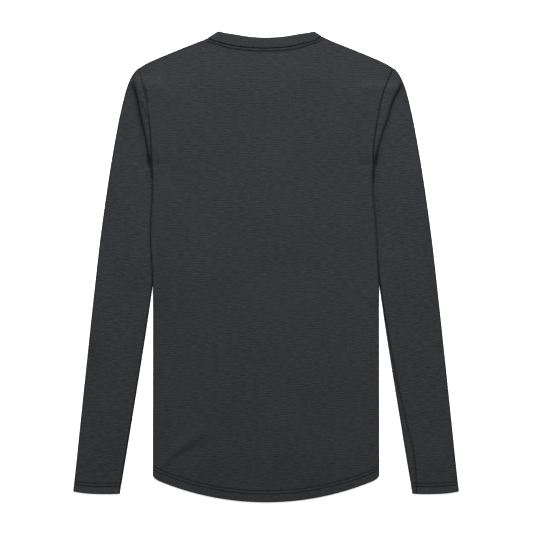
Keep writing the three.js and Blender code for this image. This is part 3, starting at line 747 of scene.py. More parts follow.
@dataclass
class BodyPanel:
    """The back or front of the body: one panel from the neck and shoulders to the hem."""

    cut: Cut
    face: Face
    creases: tuple[Crease, ...]
    column_step: float = 2.9
    row_step: float = 2.9
    loft: float = 2.3
    seam_dip: float = 0.75
    line_depth: float = 0.45
    hem_lines: tuple[float, float] = (17.5, 12.7)
    join_mark_x: float = -6.3
    stitch_drop: float = 0.9
    seam_margin: float = 5.6
    side_turns: int = 9
    top_turns: int = 8
    hem_samples: int = 1400
    neck_samples: int = 900
    side_columns: tuple[float, ...] = (-11.0, -9.0, -7.2, -5.6, -4.2, -3.0, -1.9, -0.9)

    def _columns(self) -> tuple[Array, Array, Array, Array]:
        """Columns of half the panel along its top edge.

        Returns:
            Their distance across, the height of the top edge, the room of their turn, and its slope factor,
            which is 0 at the neck, where the edge doesn't turn.
        """
        cut = self.cut
        neck_end = cut.neck_half_width if self.face is Face.BACK else cut.neck_half_width + cut.gap
        count = round(neck_end / self.column_step)
        if self.face is Face.BACK:
            neck_x = np.linspace(0, neck_end, count)
            neck_y = cut.neck_seam(neck_x) - cut.gap * cut.neck_seam.stretch(neck_x)
        else:
            angle = np.linspace(math.pi / 2, 0, count + 12)
            neck_x = neck_end * np.cos(angle)
            neck_y = cut.neck_centre_y - (cut.front_drop + cut.gap) * np.sin(angle)
        count = round((cut.tip[0] - neck_end - 15) / self.column_step)
        shoulder_x = np.linspace(neck_end + 1.5, cut.tip[0] - 13.5, count)
        shoulder_x = np.concatenate([shoulder_x, cut.tip[0] + np.array(self.side_columns), [cut.tip[0]]])
        shoulder_y = cut.shoulder_line(shoulder_x)
        stretch = cut.shoulder_line.stretch(shoulder_x)
        x = np.concatenate([neck_x, shoulder_x])
        y = np.concatenate([neck_y, shoulder_y])
        room = np.concatenate([np.full(len(neck_x), cut.curl_room), cut.curl_room * stretch])
        curls = np.concatenate([np.zeros(len(neck_x)), stretch])
        return x, y, room, curls

    def _rows(self) -> tuple[Array, Array]:
        """Rows from the shoulder down, closer at the neck, the armpit and the hem.

        Returns:
            The rows' heights, and their share of the turn at the top edge.
        """
        cut = self.cut
        top = cut.tip[1] - np.array([0.25, 0.6, 1.1, 1.7, 2.4, 3.1, 3.8, 4.5, 5.2, 6.0, 7.0, 8.5, 10.5])
        upper = np.arange(top[-1] - self.row_step, cut.armpit_y + 2, -self.row_step)
        turn = np.array([cut.armpit_y + 1, cut.tube_top_y, cut.tube_top_y - 1.2, cut.tube_top_y - 2.6])
        hem_top = cut.side_end_y + cut.hem_depth + 5
        lower = np.linspace(turn[-1] - 2, hem_top, round((turn[-1] - hem_top) / self.row_step))
        lines = np.linspace(hem_top, cut.side_end_y + 1.4, 34)[1:]
        end = cut.side_end_y + cut.hem_wall / 2 * (1 - np.cos(np.radians([70, 50, 30, 12, 0])))
        rows = np.concatenate([top, upper, turn, lower, lines, end])
        turning = np.linspace(1, 0, self.top_turns)
        heights = np.concatenate([np.full(self.top_turns, cut.tip[1]), rows])
        return heights, np.concatenate([turning, np.zeros(len(rows))])

    def stand_off(self, sign: Array, x: Array, y: Array) -> Array:
        """How far the back stands off the front: the loft, eased to nothing along every edge."""
        cut = self.cut
        from_side = smooth(cut.from_side(sign, x, y) / 60)
        from_hem = smooth((y - cut.hem_line(x) - cut.hem_depth) / 60)
        from_top = smooth((cut.shoulder_line(np.abs(x)) - y) / 70)
        return self.loft * from_side * from_hem * from_top

    def folds(self, sign: Array, x: Array, y: Array) -> Array:
        """Height of the cloth's folds and slow waves, which fade out at every edge.

        The waves are products of sines. The back never falls below the room that it has over the front, and
        the front only rises a little off the table.

        Args:
            sign: side of each place.
            x: places across the panel.
            y: places along it.

        Returns:
            Heights to add to the panel's middle surface.
        """
        cut = self.cut
        from_side = cut.from_side(sign, x, y)
        from_top = cut.shoulder_line(np.abs(x)) - y
        inside = smooth(from_side / 22) * smooth((y - cut.hem_line(x) - 4) / 24) * smooth(from_top / 18)
        waves = 0.22 * np.sin(x / 31 + y / 57 + 0.6) * np.sin(y / 43 - x / 88)
        waves = waves + 0.12 * np.sin(x / 14 + 1.1 * np.sin(y / 37)) * np.sin(y / 90 + x / 120)
        total = (creases_at(self.creases, x, y) + waves) * inside
        if self.face is Face.FRONT:
            return 0.3 * np.maximum(0, total)
        return soft_floor(total, -0.1 - np.maximum(0, self.stand_off(sign, x, y) - 0.4), 0.1)

    def dips(self, sign: Array, x: Array, y: Array) -> Array:
        """Depth of the lines of stitches and seams in the outer surface, and the ridges beside them.

        Each line is a narrow bell turned down, uneven along it, and cloth puffs up a little beside it. The
        front lies on the table, so there nothing stands out.

        Args:
            sign: side of each place.
            x: places across the panel.
            y: places along it.

        Returns:
            Distances outwards, negative into the cloth.
        """
        cut = self.cut
        from_hem = y - cut.hem_line(x)
        from_side = cut.from_side(sign, x, y)
        total = np.zeros(np.broadcast(x, y).shape)
        for line in self.hem_lines:
            uneven = 1 + 0.25 * np.sin(x / 1.9 + line)
            total = total - self.line_depth * bell(from_hem - line, 0.85) * uneven
        total = total + 0.16 * bell(from_hem - sum(self.hem_lines) / 2, 1.3)
        slack = 0.5 + 0.5 * np.sin(x / 17 + 0.8 * np.sin(x / 41))
        total = total - 0.14 * smooth((9 - from_hem) / 9) * slack
        armhole = smooth((y - cut.armpit_y) / 6) * cut.seam_strength(sign, y)
        total = total - self.seam_dip * bell(from_side, 1.3) * armhole
        if self.face is Face.FRONT:
            return np.minimum(0, total)
        puckers = 0.16 + 0.07 * np.sin(y / 3.1) + 0.05 * np.sin(y / 1.7 + 1)
        beside = bell(from_side - 3.4, 2.2) * puckers
        return total + beside * armhole + self._neck_ridge(x, y)

    def stitching_and_shade(self, sign: Array, x: Array, y: Array) -> Array:
        """Painted shade: 1 where it is darkest, and a little below 0 where the turned-up hem is painted
        lighter.

        It is a sum of bells about the lines of stitches and the seams, partly their dark thread and partly
        painted shade in their grooves, of the painted shade of the tucks, and of smooth steps of painted
        shade at the edges.

        Args:
            sign: side of each place.
            x: places across the panel.
            y: places along it.

        Returns:
            Values from -0.2 to 1.
        """
        cut = self.cut
        from_hem = y - cut.hem_line(x)
        from_side = cut.from_side(sign, x, y)
        # Painted shade along the hem's rounded edge, and the turned-up hem painted lighter.
        total = 0.95 * (1 - smooth(from_hem / 3.2)) - 0.2 * smooth((self.hem_lines[1] - from_hem) / 2)
        # Darker along the hem's stitched lines: partly their dark thread, partly painted shade in their
        # grooves.
        for line in self.hem_lines:
            total = total + 0.75 * bell(from_hem - line, 1.1)
        armhole = smooth((y - cut.armpit_y) / 4) * smooth((300 - np.abs(y - 10)) / 8)
        total = total + 0.75 * bell(from_side, 1.3) * armhole * cut.seam_strength(sign, y)
        # Painted shade along the side edge below the armpit and along the shoulder's edge, where the cloth
        # rounds away.
        total = total + 0.9 * (1 - smooth(from_side / 3.4)) * (1 - armhole) * (y < 200)
        from_top = cut.shoulder_line(np.abs(x)) - y
        total = total + 0.8 * (1 - smooth(from_top / 3.2)) * (np.abs(x) > 88)
        # Painted shade of the tucks beside the armhole's seam.
        total = total + cut.tuck_shade(x, y)
        if self.face is Face.BACK:
            # Darker along the neck's stitched line, seam and join: partly the dark thread, partly painted
            # shade in their grooves.
            seam, stitched = cut.neck_seam(np.abs(x)), cut.neck_stitch(np.abs(x))
            fade = smooth((90 - np.abs(x)) / 5)
            total = total + 0.85 * bell(y - stitched + self.stitch_drop, 1.15) * fade
            total = total + 0.6 * bell(y - seam, 1.3) * (np.abs(x) < 86)
            total = total + 0.35 * bell(x - self.join_mark_x, 1.0) * (y > stitched) * (y < seam)
        return np.clip(total, -0.2, 1)

    def _neck_ridge(self, x: Array, y: Array) -> Array:
        """Half a sine from the neck's stitched line up to its seam, with dips along both and at the join."""
        cut = self.cut
        seam, stitched = cut.neck_seam(np.abs(x)), cut.neck_stitch(np.abs(x))
        share = (y - stitched) / (seam - stitched)
        fade = smooth((90 - np.abs(x)) / 7)
        ridge = 0.85 * np.sin(np.pi * np.clip(share, 0, 1))
        dip = 0.5 * bell(y - stitched + self.stitch_drop, 0.95)
        dip = dip + 0.45 * bell(y - seam, 0.8) * (np.abs(x) < 86)
        join = 0.4 * bell(x - self.join_mark_x, 1.2) * (share > 0) * (share < 1)
        return (ridge - dip - join) * fade

    def height(self, face: Face, sign: Array, x: Array, y: Array) -> Array:
        """Middle surface of a panel away from its turned edges."""
        cut = self.cut
        wall = cut.turned_wall(y - cut.hem_line(x), cut.hem_depth)
        shelf = cut.shelf(sign, x, y)
        if face is Face.FRONT:
            rise = smooth((cut.armpit_y + 1 - y) / cut.armpit_rise)
            return cut.lower(wall) + cut.overlap_lift(y) * rise * shelf
        lift = cut.edge_lift(sign, y) * shelf + cut.neck_lift(x, y)
        return cut.upper(wall) + lift + self.stand_off(sign, x, y)

    def plan(self) -> Rows:
        """Places of the panel's grid in plan.

        A column runs from its place on the top edge to the hem. It moves in with the side by the fourth
        power of its share of the width, down from the top edge by the square of its height, and follows the
        hem's curve near the hem.

        Returns:
            Grids of x, y, sign, the share of the side's turn, whether a column is in it, the share of the
            top's turn, that turn's room and slope factor, and the row's own height.
        """
        cut = self.cut
        cx, cy, room, curls = self._columns()
        rows, top_share = self._rows()
        tip_y, tip_room = cy[-1], room[-1]
        y = rows[:, None]
        from_top = ((y - cut.side_end_y) / (cut.tip[1] - cut.side_end_y)) ** 2
        from_hem = smooth(-y / cut.hem_curve_reach)
        halves = []
        for sign in (-1, 1):
            edge = cut.body_edge(sign, y)
            share = cx[None, :-1] / cut.tip[0]
            x = cx[None, :-1] - (cut.tip[0] - edge + cut.curl_room) * share**4
            level = np.where(curls[:-1] > 0, cut.shoulder_line(x[:1]), cy[None, :-1])
            top = level - room[None, :-1] - (tip_y - tip_room)
            inner_y = y + from_top * top + from_hem * (cut.hem_line(x) - cut.side_end_y)
            turns = np.linspace(0, 1, self.side_turns)[None, :]
            side_x = np.repeat(edge - cut.curl_room, self.side_turns, axis=1)
            corner = cut.hem_line(side_x + (cut.curl_room - 0.1) * turns) - cut.side_end_y
            rise = cut.shoulder_line(side_x[:1] + (cut.curl_room - 0.2) * turns) - tip_y
            side_y = y + from_hem * corner + smooth((y - cut.tip[1] + 14) / 14) * rise
            inner, ones = np.zeros_like(x), np.ones_like(side_x)
            whole = np.ones((len(rows), x.shape[1] + self.side_turns))
            rooms = np.append(room[:-1], np.full(self.side_turns, tip_room))
            slopes = np.append(curls[:-1], np.full(self.side_turns, curls[-1]))
            half = {
                "x": sign * np.concatenate([x, side_x], axis=1),
                "y": np.concatenate([inner_y, side_y], axis=1),
                "sign": whole * sign,
                "side": np.concatenate([inner, ones * turns], axis=1),
                "at_side": np.concatenate([inner, ones], axis=1),
                "top": whole * top_share[:, None],
                "room": whole * rooms,
                "curls": whole * slopes,
                "row": whole * y,
            }
            halves.append(half)
        left, right = halves
        return {key: np.concatenate([left[key][:, ::-1], right[key][:, 1:]], axis=1) for key in left}

    def _curl(self, share: Array, radius: Array, depth: Array) -> tuple[Array, Array, Array]:
        """A quarter turn towards the seam between two panels, and the straight drop after it."""
        quarter = radius * math.pi / 2
        gone = share * (quarter + np.maximum(0, depth - radius))
        angle = np.minimum(gone / radius, math.pi / 2)
        drop = np.minimum(radius, depth) * (1 - np.cos(angle)) + np.maximum(0, gone - quarter)
        return radius * np.sin(angle), drop, angle

    def surface(self, layer: int) -> Array:
        """One surface of the panel: the middle surface moved by half the wall, turned over at its edges.

        Args:
            layer: 1 for the surface that faces out of the garment, and -1 for the inside.

        Returns:
            A grid of points.
        """
        cut = self.cut
        p = self.plan()
        x, y, sign = p["x"], p["y"], p["sign"]
        up = self.face.value
        wall = cut.turned_wall(y - cut.hem_line(x), cut.hem_depth)
        radius = cut.fold_radius(wall)
        height = self.height(self.face, sign, x, y)
        apart = self.height(Face.BACK, sign, x, y) - self.height(Face.FRONT, sign, x, y)
        depth = (apart - cut.gap) / 2
        edge = edge_round(p["row"] - cut.side_end_y, cut.hem_wall)
        at_side, at_top = p["at_side"] > 0, p["top"] > 0
        open_side = at_side & (p["row"] > cut.armpit_y)
        flat = cut.curl_room - cut.gap / 2
        edge = np.where(open_side, edge_round(flat * (1 - p["side"]), wall), edge)
        neck = at_top & (p["curls"] == 0)
        edge = np.where(neck, edge_round(cut.curl_room * (1 - p["top"]), wall), edge)
        offset = layer * wall / 2 * edge
        kept = (1 - p["side"] * ~open_side) * (1 - p["top"] * ~neck)
        place = (sign, x + sign * flat * p["side"], y + p["room"] * p["top"])
        if layer > 0:
            offset = offset + self.dips(*place) * kept
        base = height + self.folds(*place) * kept
        top_out, top_drop, top_angle = self._curl(p["top"], radius, depth)
        side_out, side_drop, side_angle = self._curl(p["side"], radius, depth)
        points = np.stack([x, y + p["room"] * p["top"], base + up * offset], axis=2)
        points[..., 0] += sign * flat * p["side"] * open_side
        turned = at_side & ~open_side & ~at_top
        across = side_out + offset * np.sin(side_angle) + cut.curl_room - wall / 2 - radius
        points[..., 0] = np.where(turned, x + sign * across, points[..., 0])
        fallen = base - up * side_drop + up * offset * np.cos(side_angle)
        points[..., 2] = np.where(turned, fallen, points[..., 2])
        turned = at_top & (p["curls"] > 0)
        over = y + (top_out + offset * np.sin(top_angle)) * p["curls"]
        points[..., 0] = np.where(turned, x + sign * flat * p["side"], points[..., 0])
        points[..., 1] = np.where(turned, over, points[..., 1])
        fallen = base - up * top_drop + up * offset * np.cos(top_angle)
        points[..., 2] = np.where(turned, fallen, points[..., 2])
        return points

    def build(self) -> Object:
        """Makes the panel's mesh, with the cloth's pattern running straight down from the neck."""
        outer, inner = self.surface(1), self.surface(-1)
        p = self.plan()
        across = p["x"] + p["sign"] * self.cut.curl_room * p["side"]
        along = p["y"] + self.cut.curl_room * p["top"]
        stitching_and_shade = self.stitching_and_shade(p["sign"], across, along)
        # Painted shade over the turned edges, where the cloth rounds away from the light.
        round_side = (p["row"] < self.cut.armpit_y) & (p["side"] > 0)
        turned = np.where(round_side, p["side"], p["top"] * (p["curls"] > 0))
        stitching_and_shade = np.maximum(stitching_and_shade, 0.7 * smooth(turned / 0.7))
        return Wall(outer, inner, across, along, stitching_and_shade).mesh(f"{self.face.name.lower()}_knit")

    def outside(self, x: Array, y: Array) -> Array:
        """Points on the panel's outer surface at places in plan, away from its turned edges."""
        sign = np.where(x < 0, -1.0, 1.0)
        wall = self.cut.turned_wall(y - self.cut.hem_line(x), self.cut.hem_depth)
        middle = self.height(self.face, sign, x, y) + self.folds(sign, x, y)
        z = middle + self.face.value * (wall / 2 + self.dips(sign, x, y))
        return np.stack([x, y, z], axis=-1)

    def hem_stitches(self) -> list["StitchLine"]:
        """Two lines of stitches along the hem, parallel to its edge."""
        lines = []
        side = float(self.cut.body_edge(-1, self.cut.side_end_y)) - 2.6
        for distance in self.hem_lines:
            x = np.linspace(-side, side, self.hem_samples)
            points = self.outside(x, self.cut.hem_line(x) + distance)
            lines.append(StitchLine(points, self.face.value * UPWARD))
        return lines

    def neck_stitches(self) -> list["StitchLine"]:
        """One line of stitches beside the neck band's seam."""
        cut = self.cut
        if self.face is Face.BACK:
            x = np.linspace(-87, 87, self.neck_samples)
            y = cut.neck_stitch(np.abs(x)) - self.stitch_drop
        else:
            angle = np.linspace(0.12, math.pi - 0.12, self.hem_samples)
            x = (cut.neck_half_width + self.seam_margin) * np.cos(angle)
            y = cut.neck_centre_y - (cut.front_drop + self.seam_margin) * np.sin(angle)
        return [StitchLine(self.outside(x, y), self.face.value * UPWARD)]


def tube_faces(rings: int, sides: int) -> Array:
    """Corner numbers of a closed tube: quads from each ring of points to the next, and a fan over each end.

    Args:
        rings: number of rings along the tube.
        sides: number of points in a ring, which is even.

    Returns:
        Four corner numbers a face, all turning the same way.
    """
    j, i = np.meshgrid(np.arange(rings - 1), np.arange(sides), indexing="ij")
    near = j * sides + i
    after = j * sides + (i + 1) % sides
    quads = np.stack([near, after, after + sides, near + sides], axis=-1).reshape(-1, 4)
    step = np.arange(1, sides - 1, 2)
    fan = np.stack([0 * step, step, step + 1, step + 2], axis=1)
    return np.concatenate([quads, fan[:, ::-1], (rings - 1) * sides + fan])


@dataclass
class StitchLine:
    """A line of stitches along points on the cloth, with the direction that the cloth faces there."""

    points: Array
    facing: Array
    pitch: float = 3.3
    fill: float = 0.74
    thread: float = 0.34
    sink: float = 0.14

    def stations(self) -> tuple[Array, Array, Array]:
        """Both ends of each stitch and the cloth's facing: equal steps of the pitch along the line.

        Returns:
            Starts, ends and facings, one row a stitch.
        """
        length = np.concatenate([[0.0], np.cumsum(np.linalg.norm(np.diff(self.points, axis=0), axis=1))])
        count = max(1, int(length[-1] / self.pitch))
        start = np.arange(count) * self.pitch + (length[-1] - count * self.pitch) / 2
        facing = np.broadcast_to(self.facing, self.points.shape)

        def at(distance: Array, values: Array) -> Array:
            """Values at distances along the line, straight between its points."""
            return np.stack([np.interp(distance, length, values[:, k]) for k in range(3)], axis=1)

        middle = at(start + self.pitch / 2, facing)
        return at(start, self.points), at(start + self.pitch * self.fill, self.points), middle


@dataclass
class Stitching:
    """All the stitches of one piece, as short rounded lengths of thread."""

    name: str
    lines: list[StitchLine]
    rings: int = 5
    sides: int = 6
    arch: float = 0.12
    flatness: float = 0.7

    def build(self) -> Object:
        """Each stitch is a tube whose radius is the square root of a sine along it, flattened to the cloth.

        Returns:
            The stitches as one object.
        """
        found = [line.stations() for line in self.lines]
        start, end, facing = (np.concatenate(part) for part in zip(*found))
        counts = [len(stations[0]) for stations in found]
        radius = np.repeat([line.thread for line in self.lines], counts)
        sink = np.repeat([line.sink for line in self.lines], counts)
        along = end - start
        facing = facing - along * (np.sum(facing * along, axis=1) / np.sum(along**2, axis=1))[:, None]
        facing /= np.linalg.norm(facing, axis=1)[:, None]
        beside = np.cross(along, facing)
        beside /= np.linalg.norm(beside, axis=1)[:, None]
        share = np.linspace(0, 1, self.rings)
        turn = np.linspace(0, 2 * math.pi, self.sides, endpoint=False)
        size = np.maximum(0.25, np.sqrt(np.sin(np.pi * share)))
        centre = start[:, None, :] + along[:, None, :] * share[None, :, None]
        lift = self.arch * np.sin(np.pi * share)[None, :] - sink[:, None]
        centre = centre + facing[:, None, :] * lift[..., None]
        ring = (
            beside[:, None, None, :] * np.cos(turn)[None, None, :, None]
            + self.flatness * facing[:, None, None, :] * np.sin(turn)[None, None, :, None]
        )
        points = centre[:, :, None, :] + ring * (size[None, :, None] * radius[:, None, None])[..., None]
        points[..., 2] = np.maximum(points[..., 2], 0.0)
        first = self.rings * self.sides * np.arange(len(start))
        faces = (tube_faces(self.rings, self.sides) + first[:, None, None]).reshape(-1, 4)
        return make_mesh(self.name, points.reshape(-1, 3) * MM, faces)


@dataclass
class SeamJoin:
    """The turned-in cloth and thread that close a seam from below, as a flat band along it."""

    name: str
    lines: list[tuple[Array, Array]]
    half_width: float = 1.5
    half_depth: float = 0.16
    sides: int = 8

    def build(self) -> Object:
        """Each line carries an ellipse across it, wide along the cloth and thin along its facing.

        Returns:
            The bands of all the lines as one object.
        """
        turn = np.linspace(0, 2 * math.pi, self.sides, endpoint=False)
        points, faces, count = [], [], 0
        for line, facing in self.lines:
            along = np.gradient(line, axis=0)
            facing = np.broadcast_to(facing, line.shape)
            across = np.cross(along, facing)
            across /= np.linalg.norm(across, axis=1)[:, None]
            ring = (
                self.half_width * across[:, None, :] * np.cos(turn)[None, :, None]
                + self.half_depth * facing[:, None, :] * np.sin(turn)[None, :, None]
            )
            points.append((line[:, None, :] + ring).reshape(-1, 3))
            faces.append(tube_faces(len(line), self.sides)[:, ::-1] + count)
            count += len(points[-1])
        return make_mesh(self.name, np.concatenate(points) * MM, np.concatenate(faces))


@dataclass
class Sleeve:
    """One sleeve: open at the armhole, with its strip folded over, and a tube below the armpit."""

    cut: Cut
    side: Side
    creases: tuple[Crease, ...]
    row_step: float = 3.0
    loft: float = 2.2
    puff: float = 1.5
    seam_dip: float = 0.7
    line_depth: float = 0.45
    cuff_lines: tuple[float, float] = (16.4, 11.8)
    lean_degrees: float = 6.4
    counts: tuple[int, ...] = (7, 7, 2, 7, 40, 14, 38)
    fold_count: int = 14
    cuff_samples: int = 700
    bow_x: float = 243.0
    bow_reach: float = 60.0
    fade_in: float = 16.0

    @staticmethod
    def _walk(start: tuple[Array, Array, float], legs: list[tuple[Array, Array]], stations: Array) -> Rows:
        """Points of a path of straight and round legs, for every row at once.

        On a leg the heading changes evenly with the distance, so a leg that turns is an arc of a circle.

        Args:
            start: place across, height and heading at the start.
            legs: length and angle turned of each leg, one value a row.
            stations: distances along the path, rows by columns.

        Returns:
            Grids of the place across, the height, the normal and the leg's number.
        """
        gone = np.zeros(stations[:, :1].shape)
        across, up, heading = (gone + value for value in start)
        found = {key: np.zeros(stations.shape) for key in ("across", "up", "out", "out_up", "leg")}
        for number, (length, turn) in enumerate(legs):
            bend = np.where(length > TINY, turn / np.maximum(length, TINY), 0.0)
            reached = stations >= gone - TINY

            def along(distance: Array) -> tuple[Array, Array, Array]:
                """Place across, height and heading at a distance along this leg."""
                new = heading + bend * distance
                round_leg = np.abs(bend) > TINY
                safe = np.where(round_leg, bend, 1.0)
                x = np.where(round_leg, (np.sin(new) - np.sin(heading)) / safe, distance * np.cos(heading))
                z = np.where(round_leg, (np.cos(heading) - np.cos(new)) / safe, distance * np.sin(heading))
                return across + x, up + z, new

            x, z, new = along(stations - gone)
            values = {"across": x, "up": z, "out": -np.sin(new), "out_up": np.cos(new), "leg": number}
            for key, value in values.items():
                found[key] = np.where(reached, value, found[key])
            across, up, heading = along(length)
            gone = gone + length
        return found

    @staticmethod
    def _spans(edges: list[Array], counts: list[int]) -> Array:
        """Stations in equal steps between given distances, for every row."""
        parts = [edges[0]]
        for start, end, count in zip(edges, edges[1:], counts):
            parts.append(start + (end - start) * (np.arange(1, count + 1) / count)[None, :])
        return np.concatenate(parts, axis=1)

    def _armhole_rows(self, y: Array) -> Rows:
        """Rows above the armpit: strip, fold, upper layer, outer fold and lower layer."""
        cut, sign = self.cut, self.side.value
        tilt = smooth((y - 280) / 28)
        outer_y = y - 2 * tilt
        radius = float(cut.fold_radius(cut.wall))
        stretch = cut.sleeve_outer.stretch(outer_y)
        edge = cut.body_edge(sign, y) + cut.gap / 2
        angle = np.radians(cut.fold_degrees(sign, y))
        reach = cut.fold_return * smooth(angle / (math.pi / 2))
        fold_start = cut.sleeve_outer(outer_y) - (cut.wall / 2 + radius) * stretch
        fold_width = 2 * cut.armhole_roll * np.sin(angle) + reach * np.cos(angle)
        strip = np.minimum(cut.strip_width(sign, y), (fold_start - edge) * 0.68)
        main = fold_start - edge - strip - fold_width
        still = np.zeros_like(y)
        legs = [
            (strip, still),
            (cut.armhole_roll * angle, -angle),
            (reach, still),
            (cut.armhole_roll * angle, angle),
            (main, still),
            (still + math.pi * radius, still - math.pi),
            (fold_start - edge, still),
        ]
        ends = [still, *np.cumsum([length for length, _ in legs], axis=0)]
        a, b, c, d, e, f, g = self.counts
        inset = np.minimum(5.0, (ends[7] - ends[6]) / 2)
        near = self._spans(ends[:5], [a, b, c, d])
        even = near[:, :1] + (near[:, -1:] - near[:, :1]) * np.linspace(0, 1, near.shape[1])[None, :]
        near = 0.8 * near + 0.2 * even
        far_edges = [*ends[4:7], ends[7] - inset, ends[7]]
        far = self._spans(far_edges, [e, f, g, self.fold_count + 1])
        stations = np.concatenate([near, far[:, 1:]], axis=1)
        start_up = cut.upper(cut.wall) + cut.fold_lift(sign, y)
        found = self._walk((edge, start_up, 0.0), legs, stations)
        near_edge = 1 - smooth((found["across"] - edge - strip) / self.fade_in)
        found["up"] = found["up"] + cut.slack_lift(sign, y) * near_edge * (found["leg"] < 5)
        # Painted shadow of the armhole fold on the cloth beside it, wider where the fold opens up.
        open_up = smooth((y - 176) / 46)
        spread = 4.4 + (0.9 if self.side is Side.RIGHT else 2.4) * open_up
        shade = bell(stations - ends[3] - 1.0 - 4.2 * open_up, spread)
        shade = shade + 0.3 * bell(stations - ends[1], 2.2) + 0.1 * bell(stations - ends[4], 11)
        found["crease"] = shade * smooth(angle / 1.35) * smooth((298 - y) / 26)
        found["past_crease"] = np.where(found["leg"] == 4, stations - ends[4], 0.0)
        found.update(stations=stations, first=edge * 0, last=ends[7], fold_start=fold_start, stretch=stretch)
        found.update(wall=still + cut.wall, outer_leg=5.0, outer_y=outer_y, y=y, strip=strip)
        return found

    def _tube_rows(self, y: Array, stations: Array | None = None) -> Rows:
        """Rows below the armpit: once round from the underarm seam and back to it."""
        cut, sign = self.cut, self.side.value
        wall = cut.turned_wall(y - cut.cuff_y, cut.cuff_depth)
        radius = cut.fold_radius(wall)
        quarter = radius * math.pi / 2
        seam = cut.underarm_seam(sign, y)
        fold_start = cut.sleeve_outer(y) - wall / 2 - radius
        fold_end = cut.sleeve_inner(sign, y) + wall / 2 + radius
        flat = fold_start - fold_end
        whole = 2 * flat + 4 * quarter
        still = np.zeros_like(y)
        legs = [
            (quarter, still - math.pi / 2),
            (flat, still),
            (2 * quarter, still - math.pi),
            (flat, still),
            (2 * quarter, still - math.pi),
            (flat, still),
        ]
        first = seam + cut.gap / 2
        last = whole + seam - cut.gap / 2
        if stations is None:
            lower = whole - quarter
            edges = [first, first + 15, quarter + flat, 3 * quarter + flat, lower - 5, lower, last]
            a, b, c, d, e, f, g = self.counts
            stations = self._spans(edges, [a + b + c + d, e, f, g - 2, 3, self.fold_count])
        start = (fold_end - radius, cut.lower(wall) + radius, math.pi / 2)
        found = self._walk(start, legs, stations)
        near_edge = 1 - smooth((found["across"] - fold_end) / self.fade_in)
        upward = np.clip((found["up"] - cut.lower(wall)) / (2 * radius), 0, 1)
        found["up"] = found["up"] + cut.slack_lift(sign, y) * near_edge * upward
        # Painted shadow of the body's edge on the sleeve, where the sleeve lies under it.
        beside = np.abs(found["across"] - cut.body_edge(sign, y)) * (found["up"] > cut.lower(wall) + radius)
        covered = smooth((cut.armpit_y - y) / 6) * smooth((y - cut.overlap_end_y) / 20)
        found["crease"] = 0.6 * bell(beside, 2.0) * (found["up"] > cut.lower(wall) + radius) * covered
        found["past_crease"] = np.maximum(0, found["across"] - cut.body_edge(sign, y)) * (found["leg"] == 1)
        found.update(stations=stations, first=first, last=last, fold_start=fold_start, stretch=still + 1)
        found.update(wall=wall, outer_leg=2.0, outer_y=y, y=y, strip=still)
        return found

    def _cuff_bow(self, x: Array, y: Array) -> Array:
        """Rise of the cuff's edge: a cube towards its outer corner and a square towards its inner one."""
        near = smooth((self.cut.cuff_y + self.bow_reach - y) / self.bow_reach)
        outwards = np.maximum(0, x - self.bow_x) / 55
        inwards = np.maximum(0, self.bow_x - x) / 16
        return near * (4.2 * outwards**3 + 0.8 * inwards**2)

    def _upper_relief(self, rows: Rows, across: Array) -> Array:
        """Height added to the upper layer: a crown as a squared sine across it, folds and slow waves."""
        cut, sign, y = self.cut, self.side.value, rows["y"]
        hidden = cut.sleeve_inner(sign, np.minimum(y, cut.tube_top_y))
        edge = np.maximum(hidden, cut.body_edge(sign, y)) + 2 + rows["strip"]
        share = np.clip((across - edge) / (rows["fold_start"] - edge), 0, 1)
        on_top = rows["up"] > cut.upper(rows["wall"]) - 0.01
        width = smooth((rows["fold_start"] - edge) / 60)
        from_cuff = smooth((y - cut.cuff_y - cut.cuff_depth) / 40)
        crown = self.loft * width * from_cuff * np.sin(np.pi * share) ** 2
        beside = smooth((y - cut.overlap_end_y) / 60) * smooth((296 - y) / 30)
        puff = self.puff * smooth(rows["past_crease"] / 9) * (1 - smooth((share - 0.35) / 0.5))
        crown = crown + puff * beside
        waves = 0.2 * np.sin(y / 23 + across / 31 + 1.3 * sign) + 0.12 * np.sin(y / 11.5 - across / 19)
        folds = creases_at(self.creases, sign * across, y) + waves
        folds = folds * np.sin(np.pi * share) ** 0.8 * smooth((y - cut.cuff_y - 4) / 24)
        relief = crown + soft_floor(folds, -crown - 0.12, 0.1)
        return np.where(on_top & (share > 0) & (share < 1), relief, 0.0)

    def _stitching_and_shade(self, rows: Rows) -> Array:
        """Painted shade: 1 where it is darkest, and a little below 0 where the turned-up cuff is painted
        lighter.

        It is a sum of bells about the seams and stitched lines, partly their dark thread and partly painted
        shade in their grooves, the painted shadow of the folds, the painted shade of the tucks, and smooth
        steps of painted shade at the edges.

        Args:
            rows: what a cross section gives.

        Returns:
            Values from -0.2 to 1.
        """
        cut, y = self.cut, rows["y"]
        to_seam = np.minimum(rows["stations"] - rows["first"], rows["last"] - rows["stations"])
        dotted = np.where(y > cut.armpit_y, 1.0, 0.55 + 0.3 * np.sin(y / 1.3))
        above = y > cut.armpit_y
        strength = np.where(above, cut.seam_strength(self.side.value, y), 1.0)
        # Darker along the seams, partly their dark thread and partly painted shade in their grooves, plus the
        # painted shadow of the folds.
        total = 0.75 * bell(to_seam, 1.3) * dotted * strength + 1.15 * rows["crease"]
        for line in self.cuff_lines:
            total = total + 0.75 * bell(y - cut.cuff_y - line, 1.1)
        from_cuff = y - cut.cuff_y
        # Painted shade along the cuff's rounded edge, and the turned-up cuff painted lighter.
        total = total + 0.95 * (1 - smooth(from_cuff / 3.2))
        total = total - 0.15 * smooth((self.cuff_lines[1] - from_cuff) / 2)
        outwards = cut.sleeve_outer(rows["outer_y"]) - rows["across"]
        inner = cut.sleeve_inner(self.side.value, np.minimum(y, cut.tube_top_y))
        inwards = np.where(above, 9.0, rows["across"] - inner)
